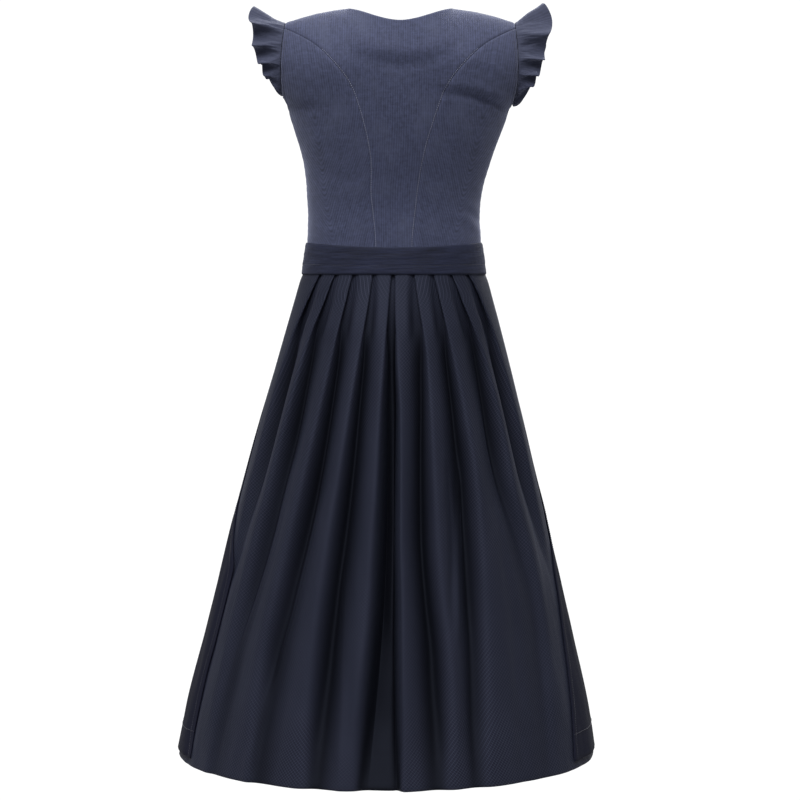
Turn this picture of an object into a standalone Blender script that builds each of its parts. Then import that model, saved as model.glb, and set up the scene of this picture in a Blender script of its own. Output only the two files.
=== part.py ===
"""Dirndl as it is worn, with nobody in it: princess-cut bodice, ruffle cap sleeves, band, pleated skirt and apron.

Metres, +Z up. +Y is the way the wearer faces and +X is the wearer's right, so the back faces -Y.
The origin lies midway between the shoulders, level with the shoulder seams, where the wearer carries the dress.
An angle on the body is measured from the centre back or the centre front: 0 there, 90 at the side seam,
positive towards +X. On the skirt it runs on from 90 at the right side seam to 180 at the centre front.
"""
import math
from collections import namedtuple

import bmesh
import bpy
from mathutils import Vector

# Cloth and seams
SEAM_GAP = 0.0003
BODICE_WALL = 0.0016
BAND_WALL = 0.0018
SKIRT_WALL = 0.0012
APRON_WALL = 0.0010
RUFFLE_WALL = 0.0014

# Heights
SHOULDER_PEAK_Z = 0.0045
SHOULDER_TIP_Z = -0.0163
BACK_NECK_Z = -0.0208
FRONT_NECK_Z = -0.1350
UNDERARM_Z = -0.1400
BAND_TOP_Z = -0.3420
BODICE_HEM_Z = -0.3720
BAND_HEM_Z = -0.3885
SKIRT_HEM_Z = -1.1090
APRON_HEM_Z = -1.0980
SKIRT_TOP_Z = BODICE_HEM_Z - SEAM_GAP
APRON_TOP_Z = BAND_HEM_Z - SEAM_GAP

# Widths measured from the centre line
NECK_HALF_WIDTH = 0.0795
SHOULDER_TIP_X = 0.1707

# The shoulders round over the top within this height, the neck would stand this far above them, and the
# shoulder seam rises this far above a straight line
SHOULDER_ROUND = 0.110
NECK_RISE = 0.030
SHOULDER_BULGE = 0.0028

# Nets of the panels: rows over the rounding of the shoulders, plain rows below it, and columns
SHOULDER_ROWS = 6
BACK_ROWS = 6
FRONT_ROWS = 5
BACK_COLUMNS = 16
SIDE_COLUMNS = 7
FRONT_COLUMNS = 10

NORMAL_STEP_Z = 0.00002
NORMAL_STEP_ANGLE = 0.02
INSET_TURN = 0.8  # share of the angle, so that an inset near the side seam doesn't run away
BACK_NECK_CURVE = 1.4
CREASE_DEGREES = 40.0

BACK = -1
FRONT = 1
LEFT = -1
RIGHT = 1

SwayLevel = namedtuple("SwayLevel", "z x")
SWAY = [  # the dress hangs a little to the wearer's left
    SwayLevel(-1.108, -0.0225),
    SwayLevel(-0.730, -0.0167),
    SwayLevel(-0.390, -0.0110),
    SwayLevel(-0.280, -0.0108),
    SwayLevel(-0.220, -0.0065),
    SwayLevel(-0.160, -0.0042),
    SwayLevel(0.010, -0.0015),
]

BodyLevel = namedtuple("BodyLevel", "z half_width back_depth front_depth")
TORSO = [  # outer face of the bodice; above the underarm the ring runs on round the upper arm
    BodyLevel(-0.3720, 0.1325, 0.0970, 0.1070),
    BodyLevel(-0.3420, 0.1297, 0.0935, 0.1040),
    BodyLevel(-0.3000, 0.1285, 0.0930, 0.1050),
    BodyLevel(-0.2600, 0.1316, 0.0980, 0.1150),
    BodyLevel(-0.2200, 0.1400, 0.1070, 0.1310),
    BodyLevel(-0.1890, 0.1500, 0.1130, 0.1400),
    BodyLevel(-0.1600, 0.1600, 0.1170, 0.1410),
    BodyLevel(-0.1400, 0.1665, 0.1185, 0.1370),
    BodyLevel(-0.1200, 0.1810, 0.1190, 0.1310),
    BodyLevel(-0.1000, 0.1900, 0.1190, 0.1250),
    BodyLevel(-0.0700, 0.1980, 0.1170, 0.1150),
    BodyLevel(-0.0300, 0.2000, 0.1080, 0.1030),
    BodyLevel(0.0100, 0.2000, 0.0980, 0.0950),
]

SKIRT = [  # middle of the skirt's wall where the pleats lie outermost
    BodyLevel(-0.3723, 0.1340, 0.0985, 0.1085),
    BodyLevel(-0.3885, 0.1361, 0.1010, 0.1105),
    BodyLevel(-0.3975, 0.1396, 0.1040, 0.1130),
    BodyLevel(-0.4274, 0.1481, 0.1140, 0.1205),
    BodyLevel(-0.4573, 0.1565, 0.1235, 0.1280),
    BodyLevel(-0.5174, 0.1728, 0.1410, 0.1425),
    BodyLevel(-0.5775, 0.1887, 0.1575, 0.1560),
    BodyLevel(-0.6529, 0.2076, 0.1770, 0.1715),
    BodyLevel(-0.7284, 0.2262, 0.1945, 0.1860),
    BodyLevel(-0.8042, 0.2436, 0.2105, 0.2000),
    BodyLevel(-0.8801, 0.2618, 0.2260, 0.2130),
    BodyLevel(-0.9563, 0.2802, 0.2410, 0.2260),
    BodyLevel(-1.0327, 0.2988, 0.2560, 0.2380),
    BodyLevel(-1.1080, 0.3122, 0.2700, 0.2500),
]
SKIRT_ROWS = [-0.3885, -0.4090, -0.4350, -0.4680, -0.5100, -0.5600, -0.6250, -0.7000, -0.7800, -0.8650,
              -0.9500, -1.0300]

EdgePlace = namedtuple("EdgePlace", "z x")
BACK_PRINCESS = [  # half width of the centre back panel, up to the shoulder tip
    EdgePlace(-0.3720, 0.0275),
    EdgePlace(-0.3400, 0.0282),
    EdgePlace(-0.3140, 0.0304),
    EdgePlace(-0.2680, 0.0353),
    EdgePlace(-0.2320, 0.0378),
    EdgePlace(-0.1900, 0.0459),
    EdgePlace(-0.1480, 0.0582),
    EdgePlace(-0.1070, 0.0764),
    EdgePlace(-0.0800, 0.0980),
    EdgePlace(-0.0500, 0.1297),
    EdgePlace(-0.0256, 0.1710),
    EdgePlace(-0.0163, 0.1707),
]
BACK_PRINCESS_TOP_Z = -0.0256
FRONT_PRINCESS = [  # half width of the two centre front panels, up to the shoulder tip
    EdgePlace(-0.3720, 0.0450),
    EdgePlace(-0.3000, 0.0470),
    EdgePlace(-0.2500, 0.0580),
    EdgePlace(-0.2000, 0.0720),
    EdgePlace(-0.1600, 0.0860),
    EdgePlace(-0.1200, 0.1060),
    EdgePlace(-0.0900, 0.1290),
    EdgePlace(-0.0680, 0.1560),
    EdgePlace(-0.0560, 0.1735),
    EdgePlace(-0.0163, 0.1707),
]
FRONT_PRINCESS_TOP_Z = -0.0560
ARMHOLE = [
    EdgePlace(-0.1400, 0.1665),
    EdgePlace(-0.1200, 0.1735),
    EdgePlace(-0.0900, 0.1745),
    EdgePlace(-0.0560, 0.1735),
    EdgePlace(-0.0256, 0.1710),
    EdgePlace(-0.0163, 0.1707),
]

# Ruffle cap sleeves: strips gathered into the armhole, from low on the back, over the shoulder, to low on the front
RUFFLE_LOW_Z = {LEFT: -0.1180, RIGHT: -0.1340}
RUFFLE_WAVES = 9
RUFFLE_WAVE_STEPS = 6
RUFFLE_WAVE_DEPTH = 0.0075
RUFFLE_ACROSS = 4
RUFFLE_FLARE = 1.1
RUFFLE_FULL_WIDTH = 0.030  # where the strip is narrower than this, its waves are shallower
RUFFLE_SLOW_WAVE = 0.35  # a slower wave on top of the others: its height, its length in waves, where it starts
RUFFLE_SLOW_LENGTH = 2.6
RUFFLE_SLOW_START = 0.7
RUFFLE_EDGE_WAVE = 0.06  # the free edge's own wave
RUFFLE_EDGE_LENGTH = 1.7
RufflePlace = namedtuple("RufflePlace", "along width lift_degrees")
RUFFLE = [  # along is 0 at the lower ends and 1 on the shoulder
    RufflePlace(0.00, 0.004, -50.0),
    RufflePlace(0.12, 0.014, -38.0),
    RufflePlace(0.30, 0.026, -14.0),
    RufflePlace(0.50, 0.036, 0.0),
    RufflePlace(0.72, 0.045, 10.0),
    RufflePlace(0.90, 0.049, 24.0),
    RufflePlace(1.00, 0.050, 34.0),
]

# Apron band
BAND_BACK_DIP = 0.0080
BAND_EASE = 0.0006  # between the bodice and the band's top edge
BAND_STEPS = 60
BAND_LAP_ANGLE = 14.0
BAND_LAP_RISE_ANGLE = 8.0
BAND_LAP_CENTRE = 150.0

# Knife pleats of the skirt back: they face the centre, each lying over the next one inwards
PLEAT_TURN = 0.0020  # between the middles of two layers that lie on each other
OPEN_WITHIN = 0.0030  # a pleat whose overlap has fallen this far below nothing is a plain wave
CENTRE_OVERLAP = 0.0040  # the centre pleat's edges lie over its underlay by at least this
OPEN_RIDGE_SHARE = 0.7  # how much of a wave's ridge and valley is left a quarter of the way to the next
OPEN_VALLEY_SHARE = 0.5
MITRE_LIMIT = 0.5
PleatLevel = namedtuple("PleatLevel", "z overlap ridge valley")
PLEAT_SHAPE = [
    PleatLevel(-0.3723, 0.0200, 0.0000, -0.0040),
    PleatLevel(-0.3885, 0.0190, 0.0000, -0.0042),
    PleatLevel(-0.4274, 0.0140, 0.0006, -0.0054),
    PleatLevel(-0.4573, 0.0100, 0.0012, -0.0068),
    PleatLevel(-0.5174, 0.0055, 0.0020, -0.0088),
    PleatLevel(-0.5775, 0.0025, 0.0026, -0.0098),
    PleatLevel(-0.6529, 0.0000, 0.0028, -0.0100),
    PleatLevel(-0.8042, -0.0040, 0.0026, -0.0084),
    PleatLevel(-0.9563, -0.0080, 0.0020, -0.0054),
    PleatLevel(-1.1080, -0.0120, 0.0010, -0.0032),
]
FoldPlace = namedtuple("FoldPlace", "z angle strength")
RIGHT_PLEATS = [
    [FoldPlace(-0.372, 0.5, 1.0), FoldPlace(-0.455, 0.8, 1.0), FoldPlace(-0.485, 1.7, 1.0),
     FoldPlace(-0.584, 4.0, 1.0), FoldPlace(-0.664, 3.7, 1.0), FoldPlace(-0.763, 3.1, 1.1),
     FoldPlace(-0.930, 3.7, 1.2), FoldPlace(-1.108, 3.8, 1.2)],
    [FoldPlace(-0.372, 11.5, 1.0), FoldPlace(-0.455, 14.5, 1.0), FoldPlace(-0.512, 15.4, 1.0),
     FoldPlace(-0.611, 14.2, 1.0), FoldPlace(-0.709, 12.9, 0.9), FoldPlace(-0.820, 11.6, 0.9),
     FoldPlace(-0.931, 13.8, 1.0), FoldPlace(-1.108, 14.2, 1.0)],
    [FoldPlace(-0.372, 24.0, 1.0), FoldPlace(-0.455, 27.1, 1.0), FoldPlace(-0.541, 30.0, 1.0),
     FoldPlace(-0.655, 31.5, 1.0), FoldPlace(-0.767, 29.7, 0.9), FoldPlace(-0.879, 27.9, 0.9),
     FoldPlace(-0.989, 26.1, 0.9), FoldPlace(-1.108, 26.6, 0.9)],
    [FoldPlace(-0.372, 37.0, 1.0), FoldPlace(-0.426, 42.0, 1.0), FoldPlace(-0.485, 48.0, 1.0),
     FoldPlace(-0.543, 53.0, 1.0), FoldPlace(-0.625, 59.0, 1.0), FoldPlace(-0.719, 62.0, 0.9),
     FoldPlace(-0.835, 60.0, 0.5), FoldPlace(-0.947, 54.0, 0.4), FoldPlace(-1.108, 48.5, 0.4)],
    [FoldPlace(-0.372, 51.0, 1.0), FoldPlace(-0.427, 60.5, 1.0), FoldPlace(-0.486, 68.5, 1.0),
     FoldPlace(-0.575, 72.0, 0.8), FoldPlace(-0.680, 74.5, 0.3), FoldPlace(-0.780, 76.0, 0.0),
     FoldPlace(-1.108, 76.0, 0.0)],
]
LEFT_PLEATS = [
    [FoldPlace(-0.372, 0.9, 1.0), FoldPlace(-0.455, 1.6, 1.0), FoldPlace(-0.485, 3.2, 1.0),
     FoldPlace(-0.664, 3.3, 1.0), FoldPlace(-0.763, 3.7, 1.1), FoldPlace(-0.879, 5.2, 1.2),
     FoldPlace(-1.001, 6.6, 1.2), FoldPlace(-1.108, 6.9, 1.2)],
    [FoldPlace(-0.372, 13.0, 1.0), FoldPlace(-0.483, 14.6, 1.0), FoldPlace(-0.653, 15.2, 1.0),
     FoldPlace(-0.709, 15.0, 1.0), FoldPlace(-0.765, 17.0, 1.0), FoldPlace(-0.932, 17.6, 1.0),
     FoldPlace(-1.108, 17.2, 0.9)],
    [FoldPlace(-0.372, 25.5, 1.0), FoldPlace(-0.455, 29.0, 1.0), FoldPlace(-0.655, 30.3, 1.0),
     FoldPlace(-0.711, 30.5, 0.9), FoldPlace(-0.825, 34.5, 0.7), FoldPlace(-0.938, 37.5, 0.5),
     FoldPlace(-1.034, 35.0, 0.5), FoldPlace(-1.108, 34.0, 0.5)],
    [FoldPlace(-0.372, 38.5, 1.0), FoldPlace(-0.426, 43.4, 1.0), FoldPlace(-0.485, 48.0, 1.0),
     FoldPlace(-0.571, 49.0, 1.0), FoldPlace(-0.658, 49.8, 0.9), FoldPlace(-0.773, 50.0, 0.6),
     FoldPlace(-0.889, 53.5, 0.3), FoldPlace(-1.108, 55.0, 0.2)],
    [FoldPlace(-0.372, 50.5, 1.0), FoldPlace(-0.427, 60.0, 1.0), FoldPlace(-0.485, 65.0, 1.0),
     FoldPlace(-0.574, 66.0, 0.9), FoldPlace(-0.680, 67.0, 0.6), FoldPlace(-0.780, 68.0, 0.1),
     FoldPlace(-0.860, 70.0, 0.0), FoldPlace(-1.108, 72.0, 0.0)],
]
UnderlayLevel = namedtuple("UnderlayLevel", "z angle depth side_depth")
UNDERLAY = [  # the strip that shows in the centre pleat: a soft rib between two hollows
    UnderlayLevel(-0.372, 0.0, 0.0040, 0.0040),
    UnderlayLevel(-0.455, 0.0, 0.0068, 0.0072),
    UnderlayLevel(-0.560, 0.3, 0.0100, 0.0110),
    UnderlayLevel(-0.720, 0.5, 0.0120, 0.0140),
    UnderlayLevel(-0.880, 1.3, 0.0075, 0.0125),
    UnderlayLevel(-1.108, 1.7, 0.0028, 0.0060),
]
SIDE_PANEL_STEPS = 3

# Skirt front and apron
WaveLevel = namedtuple("WaveLevel", "z depth")
FRONT_WAVE_ANGLE = 24.0
FRONT_STEP_ANGLE = 6.0
FRONT_PLAIN_ANGLE = 18.0  # beyond each side seam, before the folds begin
FRONT_WAVE_DEPTH = [
    WaveLevel(-0.3723, 0.0002),
    WaveLevel(-0.4500, 0.0018),
    WaveLevel(-0.6500, 0.0040),
    WaveLevel(-0.9000, 0.0050),
    WaveLevel(-1.1080, 0.0045),
]
APRON_CLEARANCE = 0.0009
APRON_CLEARANCE_RUN = 0.030  # height over which the clearance grows below the band
APRON_LIFT_ANGLE = 97.0  # from here back past the side seam the lift grows over the next angle
APRON_LIFT_RUN = 14.0
ApronEdge = namedtuple("ApronEdge", "z right left lift")
APRON_EDGES = [  # angles of the two side edges, and how far the ends stand off the skirt behind the side seams
    ApronEdge(-0.3888, 102.0, 102.0, 0.0000),
    ApronEdge(-0.5000, 99.5, 98.5, 0.0004),
    ApronEdge(-0.6000, 96.0, 94.0, 0.0008),
    ApronEdge(-0.7000, 91.5, 86.0, 0.0022),
    ApronEdge(-0.7700, 85.0, 75.0, 0.0030),
    ApronEdge(-0.8280, 77.7, 67.5, 0.0030),
    ApronEdge(-0.9050, 72.1, 67.0, 0.0028),
    ApronEdge(-0.9810, 67.5, 68.6, 0.0026),
    ApronEdge(-1.0500, 63.5, 68.5, 0.0026),
    ApronEdge(-1.1080, 61.0, 66.5, 0.0026),
]
APRON_ROWS = SKIRT_ROWS[1:]
APRON_EDGE_STEPS = 6

# Buttons of the front closure
BUTTON_COUNT = 6
BUTTON_RADIUS = 0.0070
BUTTON_THICKNESS = 0.0030
BUTTON_ROUND = 0.0010
BUTTON_WELL_RADIUS = 0.62  # shares of the radius and the thickness
BUTTON_WELL_FLOOR = 0.82
BUTTON_SIDES = 12
BUTTON_TOP_Z = -0.1540
BUTTON_SPACING = 0.0340


def read(rows, column, z):
    """Reads a named column at any height, on a smooth curve through the table's rows."""
    places = sorted(rows, key=lambda row: row.z)
    values = [getattr(row, column) for row in places]
    heights = [row.z for row in places]
    if z <= heights[0]:
        return values[0]
    if z >= heights[-1]:
        return values[-1]
    slopes = [(values[i + 1] - values[i]) / (heights[i + 1] - heights[i]) for i in range(len(places) - 1)]
    tangents = [slopes[0]]
    for before, after in zip(slopes, slopes[1:]):
        level = before * after <= 0
        tangents.append(0.0 if level else 2 * before * after / (before + after))
    tangents.append(slopes[-1])
    i = max(k for k in range(len(places) - 1) if heights[k] <= z)
    span = heights[i + 1] - heights[i]
    t = (z - heights[i]) / span
    start = (1 + 2 * t) * (1 - t) ** 2 * values[i] + t * (1 - t) ** 2 * span * tangents[i]
    end = t * t * (3 - 2 * t) * values[i + 1] + t * t * (t - 1) * span * tangents[i + 1]
    return start + end


def mix(a, b, t):
    """Value a share t of the way from a to b."""
    return a + (b - a) * t


def smooth_step(t):
    """Share that eases from 0 to 1 as t does."""
    t = min(1.0, max(0.0, t))
    return t * t * (3 - 2 * t)


def material(name, colour, roughness):
    """Plain material in the cloth's or button's colour."""
    made = bpy.data.materials.new(name)
    made.use_nodes = True
    shader = made.node_tree.nodes["Principled BSDF"]
    shader.inputs["Base Color"].default_value = (*colour, 1.0)
    shader.inputs["Roughness"].default_value = roughness
    shader.inputs["Metallic"].default_value = 0.0
    return made


def add_object(name, bm, finish):
    """Turns a closed bmesh into a smooth shaded object."""
    bmesh.ops.recalc_face_normals(bm, faces=bm.faces)
    mesh = bpy.data.meshes.new(name)
    bm.to_mesh(mesh)
    bm.free()
    mesh.shade_smooth()
    mesh.set_sharp_from_angle(angle=math.radians(CREASE_DEGREES))
    mesh.materials.append(finish)
    made = bpy.data.objects.new(name, mesh)
    bpy.context.scene.collection.objects.link(made)
    return made


def add_wall(name, outer, inner, finish):
    """Closes two matching grids of points, the outer and inner face of a piece of cloth, into one wall."""
    bm = bmesh.new()
    grids = [[[bm.verts.new(point) for point in row] for row in grid] for grid in (outer, inner)]
    rows = len(outer)
    columns = len(outer[0])
    for grid in grids:
        for r in range(rows - 1):
            for c in range(columns - 1):
                bm.faces.new((grid[r][c], grid[r][c + 1], grid[r + 1][c + 1], grid[r + 1][c]))
    rim = [(0, c) for c in range(columns)]
    rim += [(r, columns - 1) for r in range(1, rows)]
    rim += [(rows - 1, c) for c in range(columns - 2, -1, -1)]
    rim += [(r, 0) for r in range(rows - 2, 0, -1)]
    out_face, in_face = grids
    for (r0, c0), (r1, c1) in zip(rim, rim[1:] + rim[:1]):
        bm.faces.new((out_face[r0][c0], out_face[r1][c1], in_face[r1][c1], in_face[r0][c0]))
    return add_object(name, bm, finish)


# ---- Bodice ----


def shoulder_line_z(x):
    """Height of the top of the shoulders: the shoulder seam, and inside the neck a line that rises past it."""
    if x <= NECK_HALF_WIDTH:
        return SHOULDER_PEAK_Z + NECK_RISE * (1 - (x / NECK_HALF_WIDTH) ** 2)
    share = (x - NECK_HALF_WIDTH) / (SHOULDER_TIP_X - NECK_HALF_WIDTH)
    return mix(SHOULDER_PEAK_Z, SHOULDER_TIP_Z, share) + SHOULDER_BULGE * math.sin(math.pi * min(share, 1.0))


def torso_point(face, angle, z):
    """Point on the outer face of the bodice, on the back or the front."""
    half_width = read(TORSO, "half_width", z)
    depth = read(TORSO, "back_depth" if face == BACK else "front_depth", z)
    x = half_width * math.sin(math.radians(angle))
    drop = max(0.0, shoulder_line_z(abs(x)) - z)
    rounding = math.sqrt(1 - (1 - min(drop / SHOULDER_ROUND, 1.0)) ** 2)
    y = SEAM_GAP / 2 + depth * math.cos(math.radians(angle)) * rounding
    return Vector((x + read(SWAY, "x", z), face * y, z))


def torso_normal(face, angle, z):
    """Direction straight out of the bodice."""
    here = torso_point(face, angle, z)
    along = torso_point(face, angle + NORMAL_STEP_ANGLE, z) - torso_point(face, angle - NORMAL_STEP_ANGLE, z)
    down = torso_point(face, angle, z - NORMAL_STEP_Z) - here
    normal = along.cross(down) * face
    return normal.normalized()


def torso_angle(x, z):
    """Angle at which the bodice is x from the centre line."""
    share = max(-1.0, min(1.0, x / read(TORSO, "half_width", z)))
    return math.degrees(math.asin(share))


def seam_inset(x, z):
    """Angle that half a seam gap takes on the bodice."""
    turn = math.radians(torso_angle(x, z)) * INSET_TURN
    return math.degrees(SEAM_GAP / 2 / read(TORSO, "half_width", z)) / math.cos(turn)


def edge_place(table, z, inset):
    """Place on a seam or on the armhole at one height, moved aside by a share of the seam gap."""
    x = read(table, "x", z)
    return torso_angle(x, z) + inset * seam_inset(x, z), z


def seam_shares(seam_top_z, steps_plain):
    """Shares of a centre panel's height, close together where the shoulders round over.

    There are rows at the band's top edge and at the top of the princess seam too.
    """
    height = SHOULDER_TIP_Z - BODICE_HEM_Z
    rounding = SHOULDER_ROUND / height
    turns = [math.radians(90 * i / SHOULDER_ROWS) for i in range(SHOULDER_ROWS + 1)]
    curved = [1 - rounding * (1 - math.cos(turn)) for turn in turns]
    plain = [curved[-1] * i / steps_plain for i in range(steps_plain)]
    marked = [(z - BODICE_HEM_Z) / height for z in (BAND_TOP_Z, seam_top_z)]
    return sorted(plain + curved + marked)


def even_shares(steps):
    """Evenly spaced shares from 0 to 1."""
    return [i / steps for i in range(steps + 1)]


def fill_panel(bottom, top, left, right, across, up):
    """Fills the net between four edges, each a function of its share, with (angle, z) places."""
    corners = bottom(0.0), bottom(1.0), top(0.0), top(1.0)
    rows = []
    for v in up:
        row = []
        for u in across:
            place = []
            for k in range(2):
                between = (1 - v) * bottom(u)[k] + v * top(u)[k] + (1 - u) * left(v)[k] + u * right(v)[k]
                twice = ((1 - u) * (1 - v) * corners[0][k] + u * (1 - v) * corners[1][k]
                         + (1 - u) * v * corners[2][k] + u * v * corners[3][k])
                place.append(between - twice)
            row.append(tuple(place))
        rows.append(row)
    return rows


def add_panel(name, face, rows, finish):
    """Bodice panel: the cloth's wall over a net of (angle, z) places."""
    outer = [[torso_point(face, angle, z) for angle, z in row] for row in rows]
    inner = [[point - torso_normal(face, *place) * BODICE_WALL for point, place in zip(points, row)]
             for points, row in zip(outer, rows)]
    return add_wall(name, outer, inner, finish)


def back_neck(share):
    """Back neckline from the centre (0) to the shoulder seam (1)."""
    x = NECK_HALF_WIDTH * share
    return x, mix(BACK_NECK_Z, SHOULDER_PEAK_Z, share ** BACK_NECK_CURVE)


def front_neck(share):
    """Scooped front neckline from the centre front (0) to the shoulder seam (1)."""
    turn = math.radians(90 * share)
    return NECK_HALF_WIDTH * math.sin(turn), mix(FRONT_NECK_Z, SHOULDER_PEAK_Z, 1 - math.cos(turn))


def neck_and_shoulder(neck, share):
    """Top edge of a centre panel's half: the neckline up to half way, then the shoulder seam out to its tip."""
    if share <= 0.5:
        x, z = neck(share / 0.5)
    else:
        x = mix(NECK_HALF_WIDTH, SHOULDER_TIP_X, (share - 0.5) / 0.5)
        z = shoulder_line_z(x)
    return torso_angle(x, z), z


def add_back_centre(finish):
    """Centre back panel with both back shoulders."""

    def side(v, sign):
        angle, z = edge_place(BACK_PRINCESS, mix(BODICE_HEM_Z, SHOULDER_TIP_Z, v), -1)
        return sign * angle, z

    def top(u):
        share = abs(2 * u - 1)
        angle, z = neck_and_shoulder(back_neck, share)
        if share == 1.0:
            angle -= seam_inset(SHOULDER_TIP_X, SHOULDER_TIP_Z)
        return math.copysign(1.0, 2 * u - 1) * angle, z

    def bottom(u):
        return mix(side(0.0, LEFT)[0], side(0.0, RIGHT)[0], u), BODICE_HEM_Z

    up = seam_shares(BACK_PRINCESS_TOP_Z, BACK_ROWS)
    rows = fill_panel(bottom, top, lambda v: side(v, LEFT), lambda v: side(v, RIGHT), even_shares(BACK_COLUMNS), up)
    return add_panel("back_centre", BACK, rows, finish)


def add_side_panel(name, face, sign, table, seam_top_z, finish):
    """Side panel between a princess seam and the side seam, cut away for the armhole."""

    def seam(v):
        angle, z = edge_place(table, mix(BODICE_HEM_Z, seam_top_z, v), 1)
        return sign * angle, z

    def side(v):
        z = mix(BODICE_HEM_Z, UNDERARM_Z, v)
        return sign * (90 - math.degrees(SEAM_GAP / 2 / read(TORSO, "half_width", z))), z

    def top(u):
        z = mix(seam_top_z, UNDERARM_Z, u)
        if u == 0.0:
            return seam(1.0)
        return sign * min(abs(side(1.0)[0]), edge_place(ARMHOLE, z, 0)[0]), z

    def bottom(u):
        return mix(seam(0.0)[0], side(0.0)[0], u), BODICE_HEM_Z

    centre_rows = seam_shares(seam_top_z, BACK_ROWS if face == BACK else FRONT_ROWS)
    whole = (seam_top_z - BODICE_HEM_Z) / (SHOULDER_TIP_Z - BODICE_HEM_Z)
    up = [min(share / whole, 1.0) for share in centre_rows if share <= whole]
    rows = fill_panel(bottom, top, seam, side, even_shares(SIDE_COLUMNS), up)
    return add_panel(name, face, rows, finish)


def add_front_centre(name, sign, finish):
    """Centre front panel with one front shoulder, from the closure to the princess seam."""

    def closure(v):
        z = mix(BODICE_HEM_Z, FRONT_NECK_Z, v)
        return sign * seam_inset(0.0, z), z

    def seam(v):
        angle, z = edge_place(FRONT_PRINCESS, mix(BODICE_HEM_Z, SHOULDER_TIP_Z, v), -1)
        return sign * angle, z

    def top(u):
        angle, z = neck_and_shoulder(front_neck, u)
        if u == 0.0:
            return closure(1.0)
        if u == 1.0:
            return seam(1.0)
        return sign * angle, z

    def bottom(u):
        return mix(closure(0.0)[0], seam(0.0)[0], u), BODICE_HEM_Z

    up = seam_shares(FRONT_PRINCESS_TOP_Z, FRONT_ROWS)
    rows = fill_panel(bottom, top, closure, seam, even_shares(FRONT_COLUMNS), up)
    return add_panel(name, FRONT, rows, finish)


# ---- Ruffle cap sleeves ----


def armhole_point(face, sign, z):
    """Point on the armhole's edge."""
    point = torso_point(face, torso_angle(read(ARMHOLE, "x", z), z), z)
    sway = read(SWAY, "x", z)
    return Vector((sway + sign * (point.x - sway), point.y, z))


def ruffle_root(sign, share):
    """Place on the armhole from low on the back (0) over the shoulder (0.5) to low on the front (1)."""
    face = BACK if share < 0.5 else FRONT
    up = 1 - abs(2 * share - 1)
    point = armhole_point(face, sign, mix(RUFFLE_LOW_Z[sign], SHOULDER_TIP_Z, up))
    if share == 0.5:
        point.y = 0.0
    return point, up


def read_ruffle(column, up):
    """Reads the ruffle's table, whose places run along the strip."""
    rows = [EdgePlace(row.along, getattr(row, column)) for row in RUFFLE]
    return read(rows, "x", up)


def add_ruffle(name, sign, finish):
    """Gathered strip whose waves grow from the armhole seam to the free edge."""
    steps = RUFFLE_WAVES * RUFFLE_WAVE_STEPS
    roots = [ruffle_root(sign, i / steps) for i in range(steps + 1)]
    middle = []
    for i, (root, up) in enumerate(roots):
        before = roots[max(i - 1, 0)][0]
        after = roots[min(i + 1, steps)][0]
        along = (after - before).normalized()
        lift = math.radians(read_ruffle("lift_degrees", up))
        outwards = Vector((sign * math.cos(lift), 0.0, math.sin(lift)))
        outwards = (outwards - along * outwards.dot(along)).normalized()
        across = along.cross(outwards).normalized()
        turn = 2 * math.pi * i / RUFFLE_WAVE_STEPS
        wave = math.sin(turn) + RUFFLE_SLOW_WAVE * math.sin(turn / RUFFLE_SLOW_LENGTH + RUFFLE_SLOW_START)
        width = read_ruffle("width", up) * (1 + RUFFLE_EDGE_WAVE * math.cos(turn / RUFFLE_EDGE_LENGTH))
        start = root + Vector((sign * SEAM_GAP, 0.0, 0.0)) + outwards * (RUFFLE_WALL / 2)
        row = []
        for k in range(RUFFLE_ACROSS + 1):
            share = k / RUFFLE_ACROSS
            depth = RUFFLE_WAVE_DEPTH * share ** RUFFLE_FLARE * min(1.0, width / RUFFLE_FULL_WIDTH)
            row.append(start + outwards * width * share + across * depth * wave)
        middle.append(row)
    outer, inner = thicken(middle, RUFFLE_WALL)
    return add_wall(name, outer, inner, finish)


def thicken(middle, wall):
    """Moves a net of points half a wall to each side, along the directions that its neighbours give."""
    rows = len(middle)
    columns = len(middle[0])
    faces = [], []
    for r in range(rows):
        sides = [], []
        for c in range(columns):
            up = middle[min(r + 1, rows - 1)][c] - middle[max(r - 1, 0)][c]
            across = middle[r][min(c + 1, columns - 1)] - middle[r][max(c - 1, 0)]
            normal = across.cross(up).normalized()
            sides[0].append(middle[r][c] + normal * wall / 2)
            sides[1].append(middle[r][c] - normal * wall / 2)
        faces[0].append(sides[0])
        faces[1].append(sides[1])
    return faces


# ---- Apron band ----


def ring_frame(half_width, back_depth, front_depth, sway, angle):
    """Point of an oval ring and its outward direction; the angle runs from the centre back round past the sides."""
    turn = math.radians(angle)
    depth = back_depth if math.cos(turn) >= 0 else front_depth
    point = Vector((sway + half_width * math.sin(turn), -depth * math.cos(turn)))
    outwards = Vector((depth * math.sin(turn), -half_width * math.cos(turn))).normalized()
    return point, outwards


def band_size(column, z):
    """Inner face of the band: close round the bodice at its top, clear of the skirt's pleats lower down."""
    skirt = read(SKIRT, column, min(z, SKIRT_TOP_Z)) + SKIRT_WALL / 2 + SEAM_GAP
    if z <= SKIRT_TOP_Z:
        return skirt
    bodice = read(TORSO, column, BAND_TOP_Z) + BAND_EASE
    return mix(skirt, bodice, (z - SKIRT_TOP_Z) / (BAND_TOP_Z - SKIRT_TOP_Z))


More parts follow.
